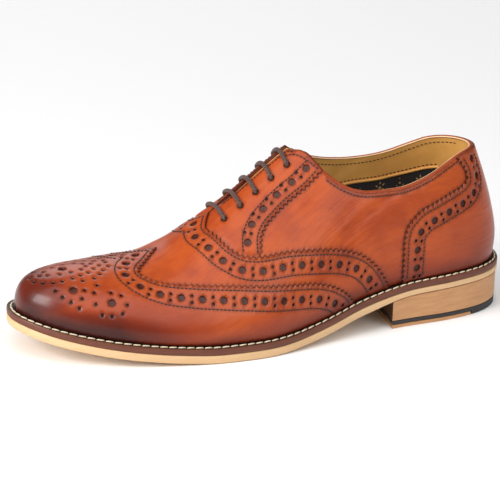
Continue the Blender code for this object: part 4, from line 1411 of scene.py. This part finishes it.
def ornaments(name, rows, columns, spacing, origin, border, laid, low, high):
    """Gold print: six drops round a diamond, and by turns a dot among three smaller dots."""
    points = []
    faces = []
    for row in range(*rows):
        for column in range(*columns):
            centre = origin + spacing * np.array([column + 0.5 * (row % 2), 0.6 * row])
            if not inside(circle(centre, MOTIF_RADIUS, 6), border).all():
                continue
            outlines = []
            if (column + row) % 2:
                outlines.append(circle(centre, 0.0006, 8))
                for k in range(3):
                    turn = k * 2 * pi / 3 + 0.5
                    outlines.append(circle(centre + 0.0024 * np.array([cos(turn), sin(turn)]), 0.00035, 6))
            else:
                outlines.append(centre + np.array(DIAMOND))
                for k in range(6):
                    turn = k * pi / 3 + pi / 6
                    way = np.array([cos(turn), sin(turn)])
                    across = np.array([-way[1], way[0]])
                    t = np.linspace(0.0, 2 * pi, 9)[:-1]
                    outlines.append(centre + np.outer(0.0018 + 0.0008 * (1 - np.cos(t)), way)
                                    - np.outer(0.00045 * np.sin(t) * (1 + 0.4 * np.cos(t)), across))
            for outline in outlines:
                add_patch(points, faces, outline if high > low else outline[::-1], laid, low, high)
    add_piece(name, new_mesh(name, points, faces), SOCK_GOLD)


def build_cloth():
    """Printed cloth low on the inner walls, under a folded leather edge sewn along the joint."""
    thread = []
    for side, label in ((OUTER, "lateral"), (INNER, "medial")):
        joint = drawn(LINING_JOINT, side)
        angles = np.linspace(angle_at(joint[-1]), angle_at(joint[0]), 60)
        low = spaced(to_chart(angles, np.full(60, sided(CLOTH_FOOT, side))), 0.002)
        fold = spaced(joint, 0.0015)
        outline = np.vstack([fold, low])
        shell("cloth_lining_" + label, outline, [], [], CLOTH, SOCK_BLACK, "sock", spacing=0.003)

        def laid(places, lift):
            angle, rise = from_chart(places)
            return [tuple(point) for point in skin(angle, rise, np.full(len(places), lift))]

        station, rise = PRINT_ORIGIN
        origin = to_chart(angle_of(station), sided(rise, side)) + np.array([0.0, side * 0.0050])
        ornaments("cloth_print_" + label, (-9, 10), (-8, 9), 0.0130, origin, outline, laid,
                  CLOTH[0] + 0.00005, CLOTH[0] - 0.00008)
        angle, rise = from_chart(fold)
        sweep("lining_fold_" + label, skin(angle, rise, -0.0024), last_normal(angle, rise), 0.00085, 0.0005,
              LINING_LEATHER, sides=10)
        rows = [beside(joint, -side * JOINT_ROW),
                beside(top_line(side, *LINING_SEWN), side * LINING_ROW)]
        thread.append(stitched(rows, LINING[0] - 2 * SUNK, pitch=LINING_PITCH, inward=True))
    stitch_mesh("lining_stitching", *together(thread), *LINING_THREAD, DARK_THREAD, "lace")


# Half width and height of the binding, the piping's radius, and how far it lies in and up from it
BINDING_RADII = (0.0010, 0.00105)
PIPING_RADIUS = 0.00045
PIPING_INWARD = 0.00095
PIPING_UP = 0.00055


def build_binding():
    """Rolled edge round the collar, from one facing's top to the other's, and the piping inside it."""
    first = turn_of(BINDING_START)
    outer_line = top_line(OUTER, first, pi, 0.0012)
    inner_line = top_line(INNER, first, pi, 0.0012)
    angle, rise = from_chart(np.concatenate([outer_line, inner_line[-2::-1]]))
    rise = np.clip(rise, 0.0, 2.0)
    centres = smoothed(skin(angle, rise, -0.0009), 4)
    normals = last_normal(angle, rise)
    for _ in range(4):
        normals = unit(smoothed(normals, 1))
    ends = eased(0.0, 0.006, reach_of(centres)) * eased(0.0, 0.006, reach_of(centres[::-1])[::-1])
    size = 0.25 + 0.75 * ends
    wide, high = BINDING_RADII
    sweep("collar_binding", centres, normals, wide * size, high * size, QUARTER_LEATHER)
    piping = centres - normals * PIPING_INWARD + (0.0, 0.0, PIPING_UP)
    radius = PIPING_RADIUS * size
    sweep("collar_piping", piping, normals, radius, radius, PIPING, sides=8)


def build_tongue():
    first = turn_of(TONGUE_FRONT)
    last = turn_of(TONGUE_TOP)
    angles = np.linspace(first, last, 60)
    near = to_chart(angles, np.full(60, 1.0 - TONGUE_SPREAD))
    far = to_chart(angles, np.full(60, 1.0 + TONGUE_SPREAD))
    turn = np.linspace(-pi / 2, pi / 2, 40)[1:-1]
    top = to_chart(last + 0.03 * np.cos(turn), 1.0 + TONGUE_SPREAD * np.sin(turn))
    outline = np.vstack([spaced(np.vstack([near, top]), 0.001), spaced(far[::-1], 0.001)[1:]])
    # The tongue's near-black colour is painted shade inside the slit
    shell("tongue_leather", outline, [], [], TONGUE, TONGUE_PAINTED_SHADE, "tan_leather", ["tongue"])


def build_laces():
    """Bars of lace over the slit, each coming up through one eyelet and down through the other."""
    over = EYESTAY[1] + LACE_RADIUS
    count = 90
    for number, station in enumerate(EYELET_STATIONS, start=1):
        angle = turn_of(station)
        outer, inner = to_chart(np.full(2, angle), np.array([EYELET_RISE, 2.0 - EYELET_RISE]))
        span = float(inner[1] - outer[1])
        reach = np.array([0.0, 0.0, 0.0, 0.0006, 0.0020, 0.0045, span / 2.0])
        lift = np.array([-0.0020, -0.0006, 0.0006, 0.0018, over, over, over - 0.0003])
        reach = np.concatenate([reach, span - reach[-2::-1]])
        lift = np.concatenate([lift, lift[-2::-1]])
        knots = np.arange(len(reach), dtype=float)
        at = np.linspace(0.0, knots[-1], count)
        w = outer[1] + through(knots, reach, at, level=True)
        rise = from_chart(np.column_stack([np.full(count, outer[0]), w]))[1]
        centres = smoothed(skin(np.full(count, angle), rise, through(knots, lift, at, level=True)), 3)
        ahead = unit(last_surface(angle + 0.01, 1.0) - last_surface(angle - 0.01, 1.0))
        normals = np.cross(np.tile(ahead, (count, 1)), unit(np.gradient(centres, axis=0)))
        sweep(f"lace_cord_{number}", centres, normals, LACE_RADIUS, LACE_RADIUS, LACE_COTTON,
              [f"lace_bar_{number}"], sides=14)


# Sole and heel

AROUND = np.linspace(-pi, pi, 481)[:-1]


def sole_ring(inset=0.0):
    x, y = edge(AROUND, inset)
    return np.column_stack([x, y])


def upper_ring(extra, toe_ease=0.0):
    """Ring inside the upper's lower edge by an extra distance."""
    ease = toe_ease * (1.0 - eased(0.0, 0.2, station_of(AROUND)))
    x, y = edge(AROUND, welt_width(np.abs(AROUND)) + extra + ease)
    return np.column_stack([x, y])


def leftwards(loop):
    """The same loop, running so that its inside lies on its left."""
    x, y = loop[:, 0], loop[:, 1]
    turning = (x * np.roll(y, -1) - np.roll(x, -1) * y).sum()
    return loop if turning > 0.0 else loop[::-1]


def layer(name, rings, finishes, replaced, hole=None, side_of=None, spacing=0.004):
    """Closed layer: rings of plan points with a height each, from the bottom up, capped at both ends.

    A hole goes straight through. Of two finishes the second is on the top cap, or where side_of says.
    """
    rings = [(leftwards(plan), height) for plan, height in rings]
    holes = [] if hole is None else [leftwards(hole)]
    count = len(rings[0][0])
    points = [np.column_stack([plan, height(plan[:, 0])]) for plan, height in rings]
    faces = [[first + k, first + (k + 1) % count, first + count + (k + 1) % count, first + count + k]
             for first in range(0, count * (len(rings) - 1), count) for k in range(count)]
    groups = [0] * len(faces)
    total = count * len(rings)
    rims = []
    for (plan, height), start, on_top in ((rings[0], 0, False), (rings[-1], total - count, True)):
        spots = hex_spots(plan, spacing)
        spots = spots[distances(spots, np.concatenate([plan, *holes])) > 0.5 * spacing]
        for loop in holes:
            spots = spots[~inside(spots, loop)]
        places, triangles = triangulate(plan, holes, (), spots)
        known = tree_of(plan)
        numbers = []
        added = []
        for x, y in places:
            _, nearest, away = known.find((x, y, 0.0))
            if away < SAME_POINT:
                numbers.append(start + nearest)
            else:
                numbers.append(total + len(added))
                added.append((x, y))
        if added:
            points.append(np.column_stack([added, height(np.array(added)[:, 0])]))
        chosen = np.array(numbers)[triangles]
        faces += (chosen if on_top else chosen[:, ::-1]).tolist()
        groups += [int(on_top)] * len(chosen)
        for loop in holes:
            tree = tree_of(added)
            rims.append([total + tree.find((x, y, 0.0))[1] for x, y in loop])
        total += len(added)
    if holes:
        bottom, top = rims
        size = len(top)
        faces += [[bottom[(k + 1) % size], bottom[k], top[k], top[(k + 1) % size]] for k in range(size)]
        groups += [0] * size
    mesh = new_mesh(name, np.concatenate(points), faces)
    if side_of is not None:
        groups = side_of(mesh)
    if not isinstance(finishes, (list, tuple)):
        groups = [0] * len(groups)
    mesh.polygons.foreach_set("material_index", np.array(groups, np.int32))
    return add_piece(name, mesh, finishes, replaced, sharp=0.7)


def raised(function, by):
    return lambda x: function(x) + by


def sole_bottom(x):
    """Underside of the outsole, which is thinner over the heel."""
    return underside(x) + SOLE_THINNED * eased(0.66, 0.76, x / LENGTH + 0.5)


def build_sole():
    bevel = 0.0006
    layer("outsole_leather", [
        (sole_ring(0.0016), sole_bottom),
        (sole_ring(bevel * 0.4), raised(sole_bottom, bevel)),
        (sole_ring(0.0), raised(sole_bottom, 2 * bevel)),
        (sole_ring(0.0), raised(sole_top, -bevel)),
        (sole_ring(bevel * 0.3), raised(sole_top, -bevel * 0.2)),
        (sole_ring(bevel), sole_top),
    ], SOLE_EDGE_LEATHER, ["outsole"])
    base = raised(sole_top, GAP * 0.2)
    layer("welt_strip", [
        (sole_ring(bevel), base),
        (sole_ring(bevel * 0.2), raised(base, bevel * 0.6)),
        (sole_ring(0.0), raised(base, bevel * 1.5)),
        (sole_ring(0.0), raised(welt_top, -bevel * 1.2)),
        (sole_ring(bevel * 0.4), raised(welt_top, -bevel * 0.3)),
        (sole_ring(bevel * 1.3), welt_top),
    ], [WELT_SIDE, WELT_TOP], ["welt"], hole=upper_ring(UNDER_UPPER))
    x, y = edge(AROUND, WELT_ROW * welt_width(np.abs(AROUND)))
    line = np.column_stack([x, y, welt_top(x)])
    line = np.vstack([line, line[:1]])
    reach = reach_of(line)
    count = int(reach[-1] / WELT_PITCH)
    middle = (np.arange(count) + 0.5) * reach[-1] / count
    ends = [at_reach(line, reach, middle + shift) for shift in (-0.0004, 0.0, 0.0004)]
    normals = np.tile((0.0, 0.0, 1.0), (count, 1))
    stitch_mesh("welt_stitching", ends[1] + (0.0, 0.0, 0.0002), ends[2] - ends[0], normals, *WELT_THREAD,
                CREAM_THREAD, "welt_leather", tilt=0.10)


def build_sock():
    top = raised(welt_top, INSOLE)
    layer("sock", [
        (upper_ring(UNDER_UPPER + GAP, TOE_EASE), raised(sole_top, GAP)),
        (upper_ring(UNDER_UPPER + 0.0002, TOE_EASE), raised(top, -0.0006)),
        (upper_ring(UNDER_UPPER + 0.0008, TOE_EASE), top),
    ], SOCK_BLACK, ["insole"])

    def laid(places, lift):
        height = top(places[:, 0]) + lift
        return [(x, y, z) for (x, y), z in zip(places, height)]

    ornaments("sock_print", (-6, 7), (-10, 11), 0.0165, np.array([0.0, CENTRE]), upper_ring(0.0040, TOE_EASE),
              laid, 0.00002, 0.00012)


def heel_loop(inset, x_end=None):
    """Plan of the heel: the sole's edge behind a hollowed breast, or only its front as far as x_end."""
    x_breast = LENGTH * (BREAST_STATION - 0.5) + (inset - HEEL_INSET)
    x_last = (LENGTH / 2.0 if x_end is None else x_end - (inset - HEEL_INSET))
    around = np.linspace(0.0, 2 * pi, 1201)
    x, y = edge(around, inset)
    half = len(around) // 2
    y_inner = np.interp(x_breast, x[:half], y[:half])
    y_outer = np.interp(-x_breast, -x[half:], y[half:])
    inner = [(px, py) for px, py in zip(x[:half], y[:half]) if x_breast < px <= x_last]
    outer = [(px, py) for px, py in zip(x[half:], y[half:]) if x_breast < px <= x_last]
    sides = np.array(inner + outer)
    across = np.linspace(-1.0, 1.0, 41)
    middle = (y_inner + y_outer) / 2.0
    spread = (y_inner - y_outer) / 2.0
    breast = np.column_stack([x_breast + BREAST_DEPTH * (1.0 - across**2), middle + spread * across])
    rest = evenly(np.vstack([breast[-1:], sides, breast[:1]]), 221)
    if x_end is not None:
        rest = bowed(rest, rest[:, 0].max(), END_BOW)
    return np.vstack([evenly(breast, 41), rest[1:-1]])


def evenly(points, count):
    """The same plan line with a number of points at even steps."""
    reach = reach_of(points)
    return at_reach(points, reach, np.linspace(0.0, reach[-1], count))


def bowed(points, x_line, bow):
    """The points on a straight cross line, bowed by a hair so that no three lie in a row."""
    on_line = np.abs(points[:, 0] - x_line) < 0.0001
    y = points[on_line, 1]
    middle, half = (y.max() + y.min()) / 2.0, (y.max() - y.min()) / 2.0
    points[on_line, 0] = x_line + bow * (1.0 - ((y - middle) / half)**2)
    return points


def heel_tip(inset, x_start):
    """Plan of the heel behind a straight line across it."""
    around = np.linspace(0.0, 2 * pi, 1201)
    x, y = edge(around, inset)
    behind = x > x_start + (inset - HEEL_INSET)
    points = np.column_stack([x, y])[behind]
    loop = evenly(np.vstack([points, points[:1]]), 161)[:-1]
    return bowed(loop, loop[:, 0].min(), -END_BOW)


def breast_faces(mesh):
    """Material numbers: 1 on the hollowed front, 0 elsewhere."""
    return [1 if polygon.normal.x < -0.35 else 0 for polygon in mesh.polygons]


def build_heel():
    lift_top = WEDGE + GAP + TOP_LIFT
    x_end = LENGTH * (WEDGE_END_STATION - 0.5)
    bevel = 0.0003

    def level(height):
        return lambda x: np.full_like(x, height)

    def block(low, high, x_last=None):
        wide, narrow = heel_loop(HEEL_INSET, x_last), heel_loop(HEEL_INSET + bevel, x_last)
        return [(narrow, low), (wide, raised(low, bevel)), (wide, raised(high, -bevel)), (narrow, high)]

    layer("heel_stack", block(level(lift_top + GAP * 0.2), raised(sole_bottom, -GAP * 0.2)),
          [HEEL_STACK, BREAST_BROWN], ["heel_block"], side_of=breast_faces)
    rubber = block(level(WEDGE + GAP), level(lift_top))
    rubber[-1] = (rubber[-1][0], level(lift_top - GAP * 0.2))
    layer("heel_rubber_sheet", rubber, RUBBER, ["heel_rubber"])
    layer("heel_rubber_tip", [
        (heel_tip(HEEL_INSET + 2 * bevel, x_end), level(0.0)),
        (heel_tip(HEEL_INSET, x_end), level(2 * bevel)),
        (heel_tip(HEEL_INSET, x_end), level(WEDGE + GAP + bevel)),
    ], RUBBER, ["heel_rubber"])
    layer("heel_wedge_leather", block(level(0.0), level(WEDGE), x_end - GAP), HEEL_STACK,
          ["heel_wedge"])


# Stage, lights and camera

CAMERA_YAW = radians(-25.62)
CAMERA_RISE = radians(19.554)
CAMERA_ROLL = radians(2.334)
CAMERA_DISTANCE = 1.607
CAMERA_TARGET = (-0.00634, CENTRE, 0.04326)
IMAGE_WIDTH = 500.0
FOCAL_PIXELS = 2849.6
SENSOR = 36.0
FLOOR_REACH = 12.0
SKY_STRENGTH = 0.09
SUN_STRENGTH = 1.55
SUN_WAY = (0.25, 0.35, -1.0)

# Square lights aimed at the shoe: name, place, size, power
SOFTBOXES = (
    ("key", (0.42, -1.15, 0.75), 0.8, 5.0),
    ("toe_light", (-1.35, -0.30, 0.70), 0.8, 24.0),
    ("fill", (1.2, -0.5, 0.6), 0.6, 1.5),
    ("back", (0.3, 1.3, 0.8), 0.8, 3.0),
)


def build_camera():
    back = np.array([sin(CAMERA_YAW) * cos(CAMERA_RISE), -cos(CAMERA_YAW) * cos(CAMERA_RISE),
                     sin(CAMERA_RISE)])
    right = np.array([cos(CAMERA_YAW), sin(CAMERA_YAW), 0.0])
    up = np.cross(back, right)
    rolled_right = right * cos(CAMERA_ROLL) + up * sin(CAMERA_ROLL)
    rolled_up = -right * sin(CAMERA_ROLL) + up * cos(CAMERA_ROLL)
    data = bpy.data.cameras.new("camera")
    data.sensor_width = SENSOR
    data.lens = FOCAL_PIXELS / IMAGE_WIDTH * SENSOR
    camera = bpy.data.objects.new("camera", data)
    bpy.context.scene.collection.objects.link(camera)
    place = np.array(CAMERA_TARGET) + back * CAMERA_DISTANCE
    camera.matrix_world = Matrix([
        (rolled_right[0], rolled_up[0], back[0], place[0]),
        (rolled_right[1], rolled_up[1], back[1], place[1]),
        (rolled_right[2], rolled_up[2], back[2], place[2]),
        (0.0, 0.0, 0.0, 1.0),
    ])
    bpy.context.scene.camera = camera


def add_lamp(name, kind, place, aim, **settings):
    """Light at a place, turned along an aim."""
    data = bpy.data.lights.new(name, kind)
    for key, value in settings.items():
        setattr(data, key, value)
    lamp = bpy.data.objects.new(name, data)
    bpy.context.scene.collection.objects.link(lamp)
    lamp.location = place
    lamp.rotation_mode = "QUATERNION"
    lamp.rotation_quaternion = aim.to_track_quat("-Z", "Y")


def build_stage():
    mesh = bpy.data.meshes.new("floor")
    corners = [(x * FLOOR_REACH, y * FLOOR_REACH, 0.0) for x, y in ((-1, -1), (1, -1), (1, 1), (-1, 1))]
    mesh.from_pydata(corners, [], [[0, 1, 2, 3]])
    floor = bpy.data.objects.new("floor", mesh)
    bpy.context.scene.collection.objects.link(floor)
    paper, _, shader = finish("floor_paper", 0.9, specular=0.1)
    shader.inputs["Base Color"].default_value = (0.95, 0.95, 0.95, 1.0)
    mesh.materials.append(paper)
    world = bpy.data.worlds.new("studio")
    world.use_nodes = True
    background = world.node_tree.nodes["Background"]
    background.inputs["Color"].default_value = (1.0, 1.0, 1.0, 1.0)
    background.inputs["Strength"].default_value = SKY_STRENGTH
    bpy.context.scene.world = world
    add_lamp("daylight", "SUN", (0.0, 0.0, 0.0), Vector(SUN_WAY), energy=SUN_STRENGTH, angle=radians(60.0))
    for name, place, size, power in SOFTBOXES:
        aim = Vector((0.0, 0.0, 0.04)) - Vector(place)
        add_lamp(name, "AREA", place, aim, shape="SQUARE", size=size, energy=power)
    bpy.context.scene.view_settings.view_transform = "Standard"


build_camera()
build_stage()
build_upper()
build_cloth()
build_binding()
build_tongue()
build_laces()
build_sole()
build_sock()
build_heel()
